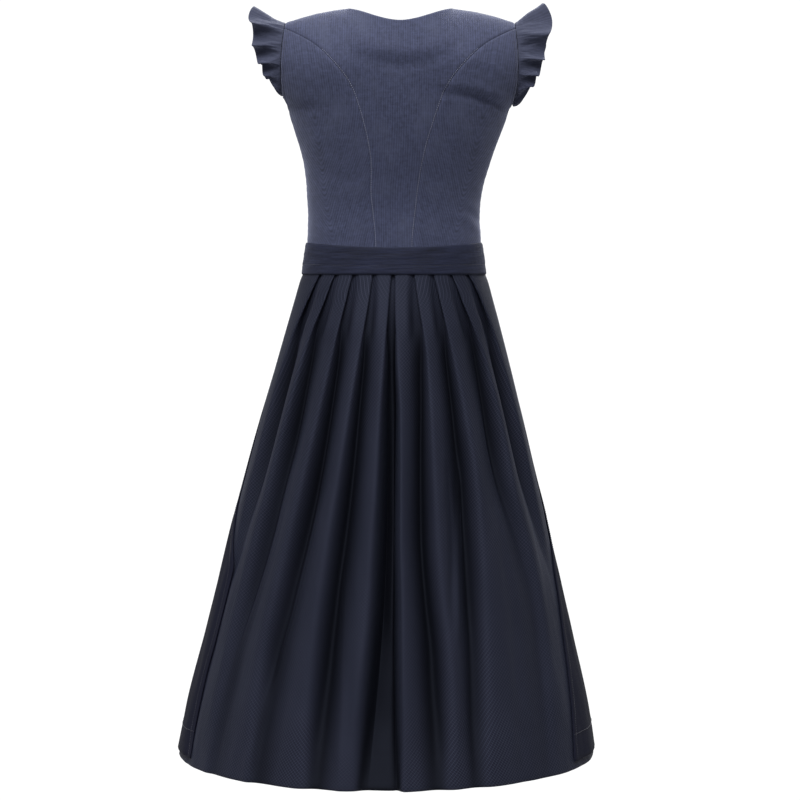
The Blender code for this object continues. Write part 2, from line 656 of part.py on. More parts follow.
def add_band(finish):
    """Band once round the waist, its end lapped over its start in front."""
    first = BAND_LAP_CENTRE - BAND_LAP_ANGLE / 2
    total = 360 + BAND_LAP_ANGLE
    columns = []
    for i in range(BAND_STEPS + 1):
        angle = first + total * i / BAND_STEPS
        top_z = BAND_TOP_Z - BAND_BACK_DIP * max(0.0, math.cos(math.radians(angle))) ** 2
        lap = smooth_step((first + total - angle - BAND_LAP_ANGLE) / BAND_LAP_RISE_ANGLE)
        rise = (1 - lap) * (BAND_WALL + SEAM_GAP)
        column = []
        for z in (top_z, mix(top_z, SKIRT_TOP_Z, 0.5), SKIRT_TOP_Z, BAND_HEM_Z):
            point, outwards = ring_frame(band_size("half_width", z), band_size("back_depth", z),
                                         band_size("front_depth", z), read(SWAY, "x", z), angle)
            near = point + outwards * rise
            far = near + outwards * BAND_WALL
            column.append((Vector((far.x, far.y, z)), Vector((near.x, near.y, z))))
        columns.append(column)
    outer, inner = ([[column[r][face] for column in columns] for r in range(len(columns[0]))] for face in (0, 1))
    return add_wall("waistband", outer, inner, finish)


# ---- Skirt ----


def skirt_frame(z, angle):
    """Point on the skirt's oval at one height, and its outward direction."""
    return ring_frame(read(SKIRT, "half_width", z), read(SKIRT, "back_depth", z),
                      read(SKIRT, "front_depth", z), read(SWAY, "x", z), angle)


def degrees_for(z, angle, length):
    """Angle that a length of cloth takes on the skirt's oval."""
    turn = math.radians(angle)
    across = read(SKIRT, "half_width", z) * math.cos(turn)
    deep = read(SKIRT, "back_depth", z) * math.sin(turn)
    return math.degrees(length / math.hypot(across, deep))


def pleat_places(folds, z):
    """Half of the skirt back's section, from the centre to the side seam, as (angle, outwards) places."""
    overlap = read(PLEAT_SHAPE, "overlap", z)
    ridge = read(PLEAT_SHAPE, "ridge", z)
    valley = read(PLEAT_SHAPE, "valley", z)
    closed = smooth_step((overlap + OPEN_WITHIN) / (2 * OPEN_WITHIN))
    edges = []
    for number, fold in enumerate(folds):
        angle = read(fold, "angle", z)
        strength = read(fold, "strength", z)
        height = ridge * strength
        depth = mix(valley * strength, min(valley * strength, -2 * PLEAT_TURN), smooth_step(overlap / PLEAT_TURN))
        tuck = angle + degrees_for(z, angle, max(overlap, CENTRE_OVERLAP) if number == 0 else overlap)
        edges.append((angle, height, tuck, depth))
    places = []
    for number, (angle, height, tuck, depth) in enumerate(edges):
        shut = 1.0 if number == 0 else closed
        if number == 0:
            depth = -read(UNDERLAY, "side_depth", z)
        step = mix((height - depth) / 3, PLEAT_TURN, shut)
        shift = (angle - tuck) / 3 * (1 - shut)
        places.append((tuck, depth))
        places.append((tuck + shift, depth + step))
        places.append((angle - shift, height - step))
        places.append((angle, height))
        if number + 1 < len(edges):
            next_tuck, next_depth = edges[number + 1][2:]
            quarter = (next_tuck - angle) / 4
            lap = degrees_for(z, angle, overlap)
            places.append((angle + max(lap, quarter), height * mix(OPEN_RIDGE_SHARE, 1.0, closed)))
            places.append((next_tuck - max(lap, quarter), next_depth * mix(OPEN_VALLEY_SHARE, 1.0, closed)))
        else:
            side = 90 - degrees_for(z, 90, SEAM_GAP / 2)
            for i in range(1, SIDE_PANEL_STEPS + 1):
                share = i / SIDE_PANEL_STEPS
                places.append((mix(angle, side, share), height * (1 - share)))
    return places


def skirt_back_section(z):
    """Whole section of the skirt back at one height, from the left side seam to the right."""
    left = [(-angle, out) for angle, out in reversed(pleat_places(LEFT_PLEATS, z))]
    right = pleat_places(RIGHT_PLEATS, z)
    left_edge = read(LEFT_PLEATS[0], "angle", z)
    right_edge = read(RIGHT_PLEATS[0], "angle", z)
    side_depth = read(UNDERLAY, "side_depth", z)
    underlay = [
        (-left_edge, -side_depth),
        (read(UNDERLAY, "angle", z), -read(UNDERLAY, "depth", z)),
        (right_edge, -side_depth),
    ]
    return left + underlay + right


def front_wave(angle, z):
    """How far the soft folds of the skirt front stand out, nothing at the side seams."""
    across = angle - 90 - FRONT_PLAIN_ANGLE
    if across <= 0:
        return 0.0
    turn = 2 * math.pi * across / FRONT_WAVE_ANGLE
    return -read(FRONT_WAVE_DEPTH, "depth", z) * (1 - math.cos(turn)) / 2


def section_points(places, z):
    """Places of a section as points, flat in its own height."""
    points = []
    for angle, out in places:
        point, outwards = skirt_frame(z, angle)
        points.append(point + outwards * out)
    return points


def section_sides(points, wall):
    """The two faces of a section's wall, each half a wall from its middle."""
    outer = []
    inner = []
    for i, point in enumerate(points):
        before = (point - points[i - 1]).normalized() if i else (points[1] - point).normalized()
        after = (points[i + 1] - point).normalized() if i + 1 < len(points) else before
        out_before = Vector((before.y, -before.x))
        out_after = Vector((after.y, -after.x))
        corner = (out_before + out_after).normalized()
        reach = wall / 2 / max(MITRE_LIMIT, corner.dot(out_after))
        outer.append(point + corner * reach)
        inner.append(point - corner * reach)
    return outer, inner


def add_section_wall(name, levels, section, wall, finish):
    """Wall through one section for each height."""
    outer = []
    inner = []
    for z in levels:
        out_row, in_row = section_sides(section_points(section(z), z), wall)
        outer.append([Vector((point.x, point.y, z)) for point in out_row])
        inner.append([Vector((point.x, point.y, z)) for point in in_row])
    return add_wall(name, outer, inner, finish)


def skirt_front_section(z):
    """Section of the skirt front, from the right side seam round to the left."""
    gap = degrees_for(z, 90, SEAM_GAP / 2)
    steps = round(180 / FRONT_STEP_ANGLE)
    angles = [90 + FRONT_STEP_ANGLE * i for i in range(steps + 1)]
    angles[0] += gap
    angles[-1] -= gap
    return [(angle, front_wave(fold_back(angle), z)) for angle in angles]


def fold_back(angle):
    """Angle from the centre back that is at most 180, whichever way round the ring it was reached."""
    return angle if angle <= 180 else 360 - angle


def apron_section(z):
    """Section of the apron, laid on the skirt's points and moved out."""
    right = read(APRON_EDGES, "right", z)
    left = 360 - read(APRON_EDGES, "left", z)
    lift = read(APRON_EDGES, "lift", z)
    seat = (SKIRT_WALL + APRON_WALL) / 2 + SEAM_GAP
    clearance = APRON_CLEARANCE * smooth_step((APRON_TOP_Z - z) / APRON_CLEARANCE_RUN)
    first = 90 + FRONT_PLAIN_ANGLE
    last = 270 - FRONT_PLAIN_ANGLE
    edge_shares = [i / APRON_EDGE_STEPS for i in range(APRON_EDGE_STEPS)]
    angles = [mix(right, first, share) for share in edge_shares]
    angles += [first + FRONT_STEP_ANGLE * i for i in range(round((last - first) / FRONT_STEP_ANGLE) + 1)]
    angles += [mix(left, last, share) for share in reversed(edge_shares)]
    places = []
    for angle in angles:
        across = fold_back(angle)
        behind_side = smooth_step((APRON_LIFT_ANGLE - across) / APRON_LIFT_RUN)
        places.append((angle, seat + clearance + front_wave(across, z) + lift * behind_side))
    return places


# ---- Buttons ----


def closure_line(z):
    """Point on the closure's edge, on the straight stretch between the panel's rows."""
    heights = [mix(BODICE_HEM_Z, FRONT_NECK_Z, share) for share in seam_shares(FRONT_PRINCESS_TOP_Z, FRONT_ROWS)]
    low = max(height for height in heights if height <= z)
    high = min(height for height in heights if height > z)
    share = (z - low) / (high - low)
    return torso_point(FRONT, 0.0, low).lerp(torso_point(FRONT, 0.0, high), share)


def button_seat(z):
    """Middle of a button's back, and the direction that it faces, clear of the cloth all over."""
    steps = [z + BUTTON_RADIUS * share for share in (-1.0, -0.5, 0.0, 0.5, 1.0)]
    line = [closure_line(step) for step in steps]
    upwards = line[-1] - line[0]
    normal = Vector((0.0, upwards.z, -upwards.y)).normalized()
    highest = max(point.dot(normal) for point in line)
    middle = (line[0] + line[-1]) / 2
    return middle + normal * (highest - middle.dot(normal) + SEAM_GAP), normal


def add_button(name, z, finish):
    """Round flat button with softened rims, seated on the closure."""
    seat, normal = button_seat(z)
    bm = bmesh.new()
    profile = [
        (BUTTON_RADIUS - BUTTON_ROUND, 0.0),
        (BUTTON_RADIUS, BUTTON_ROUND),
        (BUTTON_RADIUS, BUTTON_THICKNESS - BUTTON_ROUND),
        (BUTTON_RADIUS - BUTTON_ROUND, BUTTON_THICKNESS),
        (BUTTON_RADIUS * BUTTON_WELL_RADIUS, BUTTON_THICKNESS * BUTTON_WELL_FLOOR),
    ]
    turn = Vector((0.0, 0.0, 1.0)).rotation_difference(normal)
    rings = []
    for radius, height in profile:
        ring = []
        for i in range(BUTTON_SIDES):
            angle = 2 * math.pi * i / BUTTON_SIDES
            local = Vector((radius * math.cos(angle), radius * math.sin(angle), height))
            ring.append(bm.verts.new(seat + turn @ local))
        rings.append(ring)
    for low, high in zip(rings, rings[1:]):
        for i in range(BUTTON_SIDES):
            j = (i + 1) % BUTTON_SIDES
            bm.faces.new((low[i], low[j], high[j], high[i]))
    bm.faces.new(rings[0][::-1])
    bm.faces.new(rings[-1])
    return add_object(name, bm, finish)


def build():
    """Makes the whole dress."""
    for old in list(bpy.data.objects):
        bpy.data.objects.remove(old)

    corduroy = material("corduroy", (0.047, 0.053, 0.092), 0.85)
    band_cloth = material("band_cloth", (0.022, 0.026, 0.052), 0.80)
    skirt_cloth = material("skirt_cloth", (0.024, 0.027, 0.048), 0.62)
    apron_cloth = material("apron_cloth", (0.018, 0.020, 0.034), 0.70)
    button_finish = material("button", (0.030, 0.030, 0.036), 0.35)

    add_back_centre(corduroy)
    add_side_panel("back_side_left", BACK, LEFT, BACK_PRINCESS, BACK_PRINCESS_TOP_Z, corduroy)
    add_side_panel("back_side_right", BACK, RIGHT, BACK_PRINCESS, BACK_PRINCESS_TOP_Z, corduroy)
    add_front_centre("front_centre_left", LEFT, corduroy)
    add_front_centre("front_centre_right", RIGHT, corduroy)
    add_side_panel("front_side_left", FRONT, LEFT, FRONT_PRINCESS, FRONT_PRINCESS_TOP_Z, corduroy)
    add_side_panel("front_side_right", FRONT, RIGHT, FRONT_PRINCESS, FRONT_PRINCESS_TOP_Z, corduroy)
    add_ruffle("ruffle_left", LEFT, corduroy)
    add_ruffle("ruffle_right", RIGHT, corduroy)
    add_band(band_cloth)

    levels = [SKIRT_TOP_Z] + SKIRT_ROWS + [SKIRT_HEM_Z]
    add_section_wall("skirt_back", levels, skirt_back_section, SKIRT_WALL, skirt_cloth)
    add_section_wall("skirt_front", levels, skirt_front_section, SKIRT_WALL, skirt_cloth)
    add_section_wall("apron", [APRON_TOP_Z] + APRON_ROWS + [APRON_HEM_Z], apron_section, APRON_WALL, apron_cloth)

    for i in range(BUTTON_COUNT):
        add_button(f"button_{i + 1}", BUTTON_TOP_Z - BUTTON_SPACING * i, button_finish)


build()
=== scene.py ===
"""Dirndl in its worn form, seen from behind: its cloth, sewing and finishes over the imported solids.

Metres, +Z up, +Y the way the wearer faces, +X the wearer's right; the origin lies midway between the
shoulders. Angles on the bodice run from the centre back or centre front to 90 at the side seams. On the
skirt they run on from the centre back past 90 at the right side seam to 180 at the centre front.
"""
from __future__ import annotations

import logging
import math
from dataclasses import dataclass, field
from enum import Enum
from typing import Callable, Iterable, Mapping, Sequence, Union

import bpy
import numpy as np
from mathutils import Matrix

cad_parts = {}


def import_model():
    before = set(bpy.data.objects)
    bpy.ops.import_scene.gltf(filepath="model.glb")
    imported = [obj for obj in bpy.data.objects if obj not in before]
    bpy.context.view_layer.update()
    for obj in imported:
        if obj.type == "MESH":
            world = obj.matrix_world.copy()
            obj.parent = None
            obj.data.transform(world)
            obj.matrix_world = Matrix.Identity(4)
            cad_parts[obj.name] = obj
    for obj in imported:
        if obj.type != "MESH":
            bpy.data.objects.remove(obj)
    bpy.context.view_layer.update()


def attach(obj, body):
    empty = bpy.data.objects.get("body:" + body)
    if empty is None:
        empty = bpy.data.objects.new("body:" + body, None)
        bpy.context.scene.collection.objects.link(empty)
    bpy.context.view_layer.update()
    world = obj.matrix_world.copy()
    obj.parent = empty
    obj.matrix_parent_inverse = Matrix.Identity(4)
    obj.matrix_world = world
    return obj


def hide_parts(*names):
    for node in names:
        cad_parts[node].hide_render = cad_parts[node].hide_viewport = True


LOG = logging.getLogger("dirndl")

Array = np.ndarray
Line = tuple[Array, Array]  # points and the normals there
Table = tuple[tuple[float, ...], ...]
Place = tuple[float, float, float]
Colour = tuple[float, float, float]
Value = Union["Socket", float]

BODY = "root"
FLAT_MAP = "cloth"  # every piece's flat coordinates, in metres
# painted shade: this attribute darkens the skirt's colour where the cloth lies deep in its folds
FOLD_SHADE_MAP = "depth"  # how deep the skirt lies in its folds, from 0 to 1
SEAM_GAP = 0.0003
RIM_SHARE = 0.45  # how far a cloth's rim is rounded out, as a share of the wall
NAP_TINT = (0.62, 0.66, 0.9)
SHINE_TINT = (0.6, 0.68, 1.0)


class Side(Enum):
    """Side of the dress in the back view: the wearer's right is at the right."""

    LEFT = -1
    RIGHT = 1


class Face(Enum):
    """Back or front half of the dress."""

    BACK = -1
    FRONT = 1


class Edge(Enum):
    """Edge of a net of cloth."""

    FIRST_COLUMN = "first column"
    LAST_COLUMN = "last column"
    LAST_ROW = "last row"


# ---- Curves and nets ----


class Curve:
    """Smooth curve through (position, value) pairs that never passes beyond them."""

    def __init__(self, pairs: Iterable[tuple[float, float]]) -> None:
        """Works out the tangents of the curve.

        Args:
            pairs: positions and values, in any order.
        """
        places = sorted(pairs)
        self.at = np.array([place[0] for place in places])
        self.value = np.array([place[1] for place in places])
        slope = np.diff(self.value) / np.diff(self.at)
        before, after = slope[:-1], slope[1:]
        rising = before * after > 0
        middle = np.where(rising, 2 * before * after / np.where(rising, before + after, 1.0), 0.0)
        self.tangent = np.concatenate([slope[:1], middle, slope[-1:]])

    def __call__(self, at: Union[Array, float]) -> Array:
        """Reads the curve.

        Args:
            at: positions, held within the first and the last.

        Returns:
            The values there.
        """
        at = np.clip(at, self.at[0], self.at[-1])
        i = np.clip(np.searchsorted(self.at, at, side="right") - 1, 0, len(self.at) - 2)
        span = self.at[i + 1] - self.at[i]
        t = (at - self.at[i]) / span
        start = (1 + 2 * t) * (1 - t) ** 2 * self.value[i] + t * (1 - t) ** 2 * span * self.tangent[i]
        end = t * t * (3 - 2 * t) * self.value[i + 1] + t * t * (t - 1) * span * self.tangent[i + 1]
        return start + end


class Spline(Curve):
    """Curve through its pairs that bends evenly, without a kink at any of them."""

    def __init__(self, pairs: Iterable[tuple[float, float]]) -> None:
        """Works out tangents at which the bend stays the same on both sides of each pair."""
        super().__init__(pairs)
        span = np.diff(self.at)
        slope = np.diff(self.value) / span
        count = len(self.at)
        balance, wanted = np.zeros((count, count)), np.zeros(count)
        balance[0, :2], wanted[0] = (2, 1), 3 * slope[0]
        balance[-1, -2:], wanted[-1] = (1, 2), 3 * slope[-1]
        for i in range(1, count - 1):
            balance[i, i - 1:i + 2] = span[i], 2 * (span[i - 1] + span[i]), span[i - 1]
            wanted[i] = 3 * (span[i] * slope[i - 1] + span[i - 1] * slope[i])
        self.tangent = np.linalg.solve(balance, wanted)


def column(table: Table, number: int) -> Curve:
    """Curve of one column of a table whose first column is the position."""
    return Curve((row[0], row[number]) for row in table)


def smooth_step(t: Union[Array, float]) -> Array:
    """Share that eases from 0 to 1 as t does."""
    t = np.clip(t, 0.0, 1.0)
    return t * t * (3 - 2 * t)


def bump(t: Union[Array, float]) -> Array:
    """Bell that is 1 at 0 and falls away within a few units."""
    return np.exp(-np.square(t))


def unit(vectors: Array) -> Array:
    """The vectors at length 1."""
    length = np.linalg.norm(vectors, axis=-1, keepdims=True)
    return vectors / np.maximum(length, 1e-12)


def crowded(share: Array, amount: float) -> Array:
    """Shares from 0 to 1, brought closer together at both ends by an amount."""
    return (1 - amount) * share + amount * (share - np.sin(2 * math.pi * share) / (2 * math.pi))


def uneven(a: Array, b: Array, seed: float, octaves: int = 4) -> Array:
    """Soft irregular relief between about -1 and 1 over two coordinates that change by 1 in a fold.

    Args:
        a: first coordinate.
        b: second coordinate.
        seed: number that picks the pattern.
        octaves: how many waves are summed in each of three directions.

    Returns:
        The relief.
    """
    total = np.zeros(np.broadcast(a, b).shape)
    weight = 0.0
    for i in range(octaves):
        size = 1.0 + 0.83 * i
        for k in range(3):
            turn = seed * (1.7 + k) + 2.4 * i + 1.3 * k
            phase = 6.1 * math.sin(seed * 3.1 + i * 1.9 + k * 4.7)
            wave = np.sin(2 * math.pi * size * (a * math.cos(turn) + b * math.sin(turn)) + phase)
            total += wave / size
            weight += 1 / size
    return total / weight * 1.8


@dataclass(frozen=True)
class Unevenness:
    """Soft irregular relief: its height, its folds in a unit of each coordinate, and its seed."""

    height: float
    across: float
    along: float
    seed: float

    def relief(self, a: Array, b: Array, shift: float = 0.0) -> Array:
        """How far it raises the cloth at two coordinates, with its seed moved by a shift."""
        return self.height * uneven(a * self.across, b * self.along, self.seed + shift)


@dataclass(frozen=True)
class Swell:
    """Rounded rise along a line of the cloth, a hollow where its height is negative."""

    height: float
    width: float
    away: float = 0.0

    def relief(self, distance: Array) -> Array:
        """How far it raises the cloth at a distance from the line."""
        return self.height * bump((distance - self.away) / self.width)


@dataclass
class Net:
    """Net of points over a piece of cloth, rows by columns, with flat coordinates in metres."""

    points: Array
    flat: Array

    def normals(self) -> Array:
        """Directions square to the net, away from the dress's upright axis."""
        normal = unit(np.cross(np.gradient(self.points, axis=1), np.gradient(self.points, axis=0)))
        return -normal if np.sum(normal[..., :2] * self.points[..., :2]) < 0 else normal

    def raised(self, relief: Array) -> "Net":
        """The net moved along its normals by a relief."""
        return Net(self.points + self.normals() * relief[..., None], self.flat)

    def from_edge(self, edge: Edge) -> Array:
        """Distance of every point from one edge, measured along the net."""
        axis = 0 if edge is Edge.LAST_ROW else 1
        steps = np.linalg.norm(np.diff(self.points, axis=axis), axis=-1)
        run = np.pad(np.cumsum(steps, axis=axis), [(1 - axis, 0), (axis, 0)])
        if edge is Edge.FIRST_COLUMN:
            return run
        return np.take(run, [-1], axis=axis) - run

    def line_beside(self, edge: Edge, distance: float) -> Line:
        """Line on the net at one distance in metres from an edge."""
        run = self.from_edge(edge)
        points, normals = self.points, self.normals()
        if edge is Edge.LAST_ROW:
            run, points, normals = run.T, points.transpose(1, 0, 2), normals.transpose(1, 0, 2)
        order = 1 if edge is Edge.FIRST_COLUMN else -1
        line, out = (np.array([[np.interp(distance, away[::order], row[::order, k]) for k in range(3)]
                               for away, row in zip(run, rows)]) for rows in (points, normals))
        return line, unit(out)


def flat_of(points: Array) -> Array:
    """Flat coordinates of a net: its lengths across from the middle column and up from the first row."""
    across = np.linalg.norm(np.diff(points, axis=1), axis=-1)
    run = np.pad(np.cumsum(across, axis=1), [(0, 0), (1, 0)])
    middle = points.shape[1] // 2
    run = run - run[:, middle:middle + 1]
    up = np.linalg.norm(np.diff(points[:, middle], axis=0), axis=-1)
    height = np.concatenate([[0.0], np.cumsum(up)])
    return np.stack([run, np.broadcast_to(height[:, None], run.shape)], axis=-1)


def dressed(piece: bpy.types.Object, nodes: Sequence[str] = ()) -> bpy.types.Object:
    """Makes a piece ride on the dress and the solids that it stands for.

    Args:
        piece: the object.
        nodes: names of the solids that it replaces.

    Returns:
        The same object.
    """
    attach(piece, BODY)
    if nodes:
        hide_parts(*nodes)
    LOG.info("%s: %d faces", piece.name, len(piece.data.polygons))
    return piece


def mesh_object(name: str, points: Array, faces: Sequence[Sequence[int]],
                materials: Sequence[bpy.types.Material], flat: Union[Array, None] = None,
                numbers: Union[Array, None] = None, depth: Union[Array, None] = None) -> bpy.types.Object:
    """Smooth shaded object from points and faces.

    Args:
        name: the piece's name.
        points: points, n by 3.
        faces: faces as lists of point numbers.
        materials: its materials.
        flat: flat coordinates of each point, n by 2.
        numbers: number of each face's material.
        depth: how deep each point lies in a fold, from 0 to 1, kept as the weight of the painted fold shade.

    Returns:
        The object, linked to the scene.
    """
    mesh = bpy.data.meshes.new(name)
    mesh.from_pydata(points.tolist(), [], [list(f) for f in faces])
    for material in materials:
        mesh.materials.append(material)
    if numbers is not None:
        mesh.polygons.foreach_set("material_index", numbers)
    if flat is not None:
        corners = np.empty(len(mesh.loops), dtype=np.int32)
        mesh.loops.foreach_get("vertex_index", corners)
        mesh.uv_layers.new(name=FLAT_MAP).data.foreach_set("uv", flat[corners].ravel())
    if depth is not None:
        mesh.attributes.new(FOLD_SHADE_MAP, "FLOAT", "POINT").data.foreach_set("value", depth)
    mesh.shade_smooth()
    mesh.update()
    made = bpy.data.objects.new(name, mesh)
    bpy.context.scene.collection.objects.link(made)
    return made


def shell(name: str, net: Net, wall: Union[Array, float], materials: Sequence[bpy.types.Material],
          centred: bool = False, depth: Union[Array, None] = None) -> bpy.types.Object:
    """Thin closed shell of cloth over a net, with rounded rims.

    Args:
        name: the piece's name.
        net: its outer face, or the middle of its wall.
        wall: thickness of the cloth, one number or one for each point.
        materials: finish of the outer face and, if there are two, of the inner face.
        centred: whether the net is the middle of the wall.
        depth: how deep each point of the net lies in a fold, from 0 to 1, kept as the weight of the painted
            fold shade.

    Returns:
        The object.
    """
    normal = net.normals()
    wall = np.broadcast_to(np.asarray(wall, dtype=float), net.points.shape[:2])[..., None]
    outer = net.points + normal * wall * (0.5 if centred else 0.0)
    inner = outer - normal * wall
    rows, columns = outer.shape[:2]
    number = np.arange(rows * columns).reshape(rows, columns)
    a, b, c, d = (number[:-1, :-1], number[:-1, 1:], number[1:, 1:], number[1:, :-1])
    quads = np.stack([a, b, c, d], axis=-1).reshape(-1, 4)
    square = np.cross(outer[0, 1] - outer[0, 0], outer[1, 0] - outer[0, 0])
    if np.dot(square, normal[0, 0]) < 0:
        quads = quads[:, ::-1]
    ring = np.concatenate([number[0, :-1], number[:-1, -1], number[-1, :0:-1], number[:0:-1, 0]])
    inwards = np.concatenate([number[1, :-1], number[:-1, -2], number[-2, :0:-1], number[:0:-1, 1]])
    flat_outer = outer.reshape(-1, 3)
    flat_inner = inner.reshape(-1, 3)
    away = unit(flat_outer[ring] - flat_outer[inwards])
    rim = (flat_outer[ring] + flat_inner[ring]) / 2 + away * wall.reshape(-1, 1)[ring] * RIM_SHARE
    count = rows * columns
    points = np.concatenate([flat_outer, flat_inner, rim])
    step = np.roll(np.arange(len(ring)), -1)
    rim_number = 2 * count + np.arange(len(ring))
    outside = np.stack([ring, ring[step], rim_number[step], rim_number], axis=-1)
    inside = np.stack([rim_number, rim_number[step], ring[step] + count, ring + count], axis=-1)
    if np.dot(square, normal[0, 0]) > 0:
        outside, inside = outside[:, ::-1], inside[:, ::-1]
    faces = np.concatenate([quads, quads[:, ::-1] + count, outside, inside])
    numbers = np.zeros(len(faces), dtype=np.int32)
    if len(materials) > 1:
        numbers[len(quads):2 * len(quads)] = 1

    def repeated(values: Array) -> Array:
        """Values of the net's points, again for the inner face and the rim."""
        return np.concatenate([values, values, values[ring]])

    deep = None if depth is None else repeated(depth.ravel())
    flat = repeated(net.flat.reshape(-1, 2))
    return mesh_object(name, points, faces.tolist(), materials, flat, numbers, deep)


@dataclass(frozen=True)
class Thread:
    """Sewing thread and the stitch it makes, an arch whose ends dip into the cloth."""

    length: float = 0.0024
    gap: float = 0.0008
    radius: float = 0.00029
    sides: int = 5
    places: tuple[float, ...] = (0.0, 0.2, 0.8, 1.0)  # shares of the stitch's length
    widths: tuple[float, ...] = (0.35, 1.0, 1.0, 0.35)  # shares of the radius, as are the lifts
    lifts: tuple[float, ...] = (-1.2, 0.35, 0.35, -1.2)

    def sew(self, name: str, lines: Sequence[Line], material: bpy.types.Material) -> bpy.types.Object:
        """Rows of stitches along lines, as one piece.

        Args:
            name: the piece's name.
            lines: points and normals of each line.
            material: the thread's finish.

        Returns:
            The object.
        """
        widths, lifts = np.array(self.widths) * self.radius, np.array(self.lifts) * self.radius
        turns = 2 * math.pi * np.arange(self.sides) / self.sides
        stitches, faces = [], []
        for line, normals in lines:
            run = np.concatenate([[0.0], np.cumsum(np.linalg.norm(np.diff(line, axis=0), axis=1))])
            starts = np.arange(self.gap, run[-1] - self.length, self.length + self.gap)
            at = starts[:, None] + self.length * np.array(self.places)
            place, out = (np.stack([np.interp(at, run, values[:, k]) for k in range(3)], axis=-1)
                          for values in (line, normals))
            out = unit(out)
            beside = unit(np.cross(place[:, -1] - place[:, 0], out[:, 1]))[:, None, None, :]
            centre = place + out * lifts[None, :, None]
            around = beside * np.cos(turns)[None, None, :, None] + out[:, :, None, :] * np.sin(turns)[:, None]
            stitches.append((centre[:, :, None, :] + around * widths[None, :, None, None]).reshape(-1, 3))
        points = np.concatenate(stitches)
        size = len(self.places) * self.sides
        for first in range(0, len(points), size):
            for low in range(first, first + size - self.sides, self.sides):
                for k in range(self.sides):
                    j = (k + 1) % self.sides
                    faces.append((low + k, low + j, low + self.sides + j, low + self.sides + k))
            faces.append(tuple(range(first + self.sides - 1, first - 1, -1)))
            faces.append(tuple(range(first + size - self.sides, first + size)))
        return dressed(mesh_object(name, points, faces, [material]))


# ---- Shader maths ----


def operator(operation: str, swapped: bool = False) -> Callable[["Socket", Value], "Socket"]:
    """Arithmetic operator of a socket.

    Args:
        operation: the Math node's operation.
        swapped: whether the socket stands on the right.

    Returns:
        The operator.
    """
    def applied(self: "Socket", other: Value) -> "Socket":
        """Output of the operation's node."""
        return self.shader.maths(operation, *((other, self) if swapped else (self, other)))
    return applied


class Socket:
    """Output of a node that takes part in sums and products of numbers."""

    __add__, __radd__ = operator("ADD"), operator("ADD", swapped=True)
    __sub__, __rsub__ = operator("SUBTRACT"), operator("SUBTRACT", swapped=True)
    __mul__, __rmul__ = operator("MULTIPLY"), operator("MULTIPLY", swapped=True)
    __truediv__ = operator("DIVIDE")

    def __init__(self, shader: "Shader", link: bpy.types.NodeSocket) -> None:
        """Wraps a socket of a shader."""
        self.shader = shader
        self.link = link

    def cosine(self, period: float) -> "Socket":
        """Wave between 0 and 1 with a period."""
        return self.shader.maths("COSINE", self * (2 * math.pi / period)) * 0.5 + 0.5

    def zigzag(self, period: float) -> "Socket":
        """Distance from the nearest multiple of a period, as a share of half of it."""
        return self.shader.maths("PINGPONG", self, period / 2) / (period / 2)

    def between(self, low: float, high: float) -> "Socket":
        """Share from 0 at low to 1 at high, eased and held within them."""
        made = self.shader.node(
            "ShaderNodeMapRange", {"interpolation_type": "SMOOTHSTEP"},
            {"Value": self, "From Min": low, "From Max": high, "To Min": 0.0, "To Max": 1.0},
        )
        return Socket(self.shader, made.outputs[0])


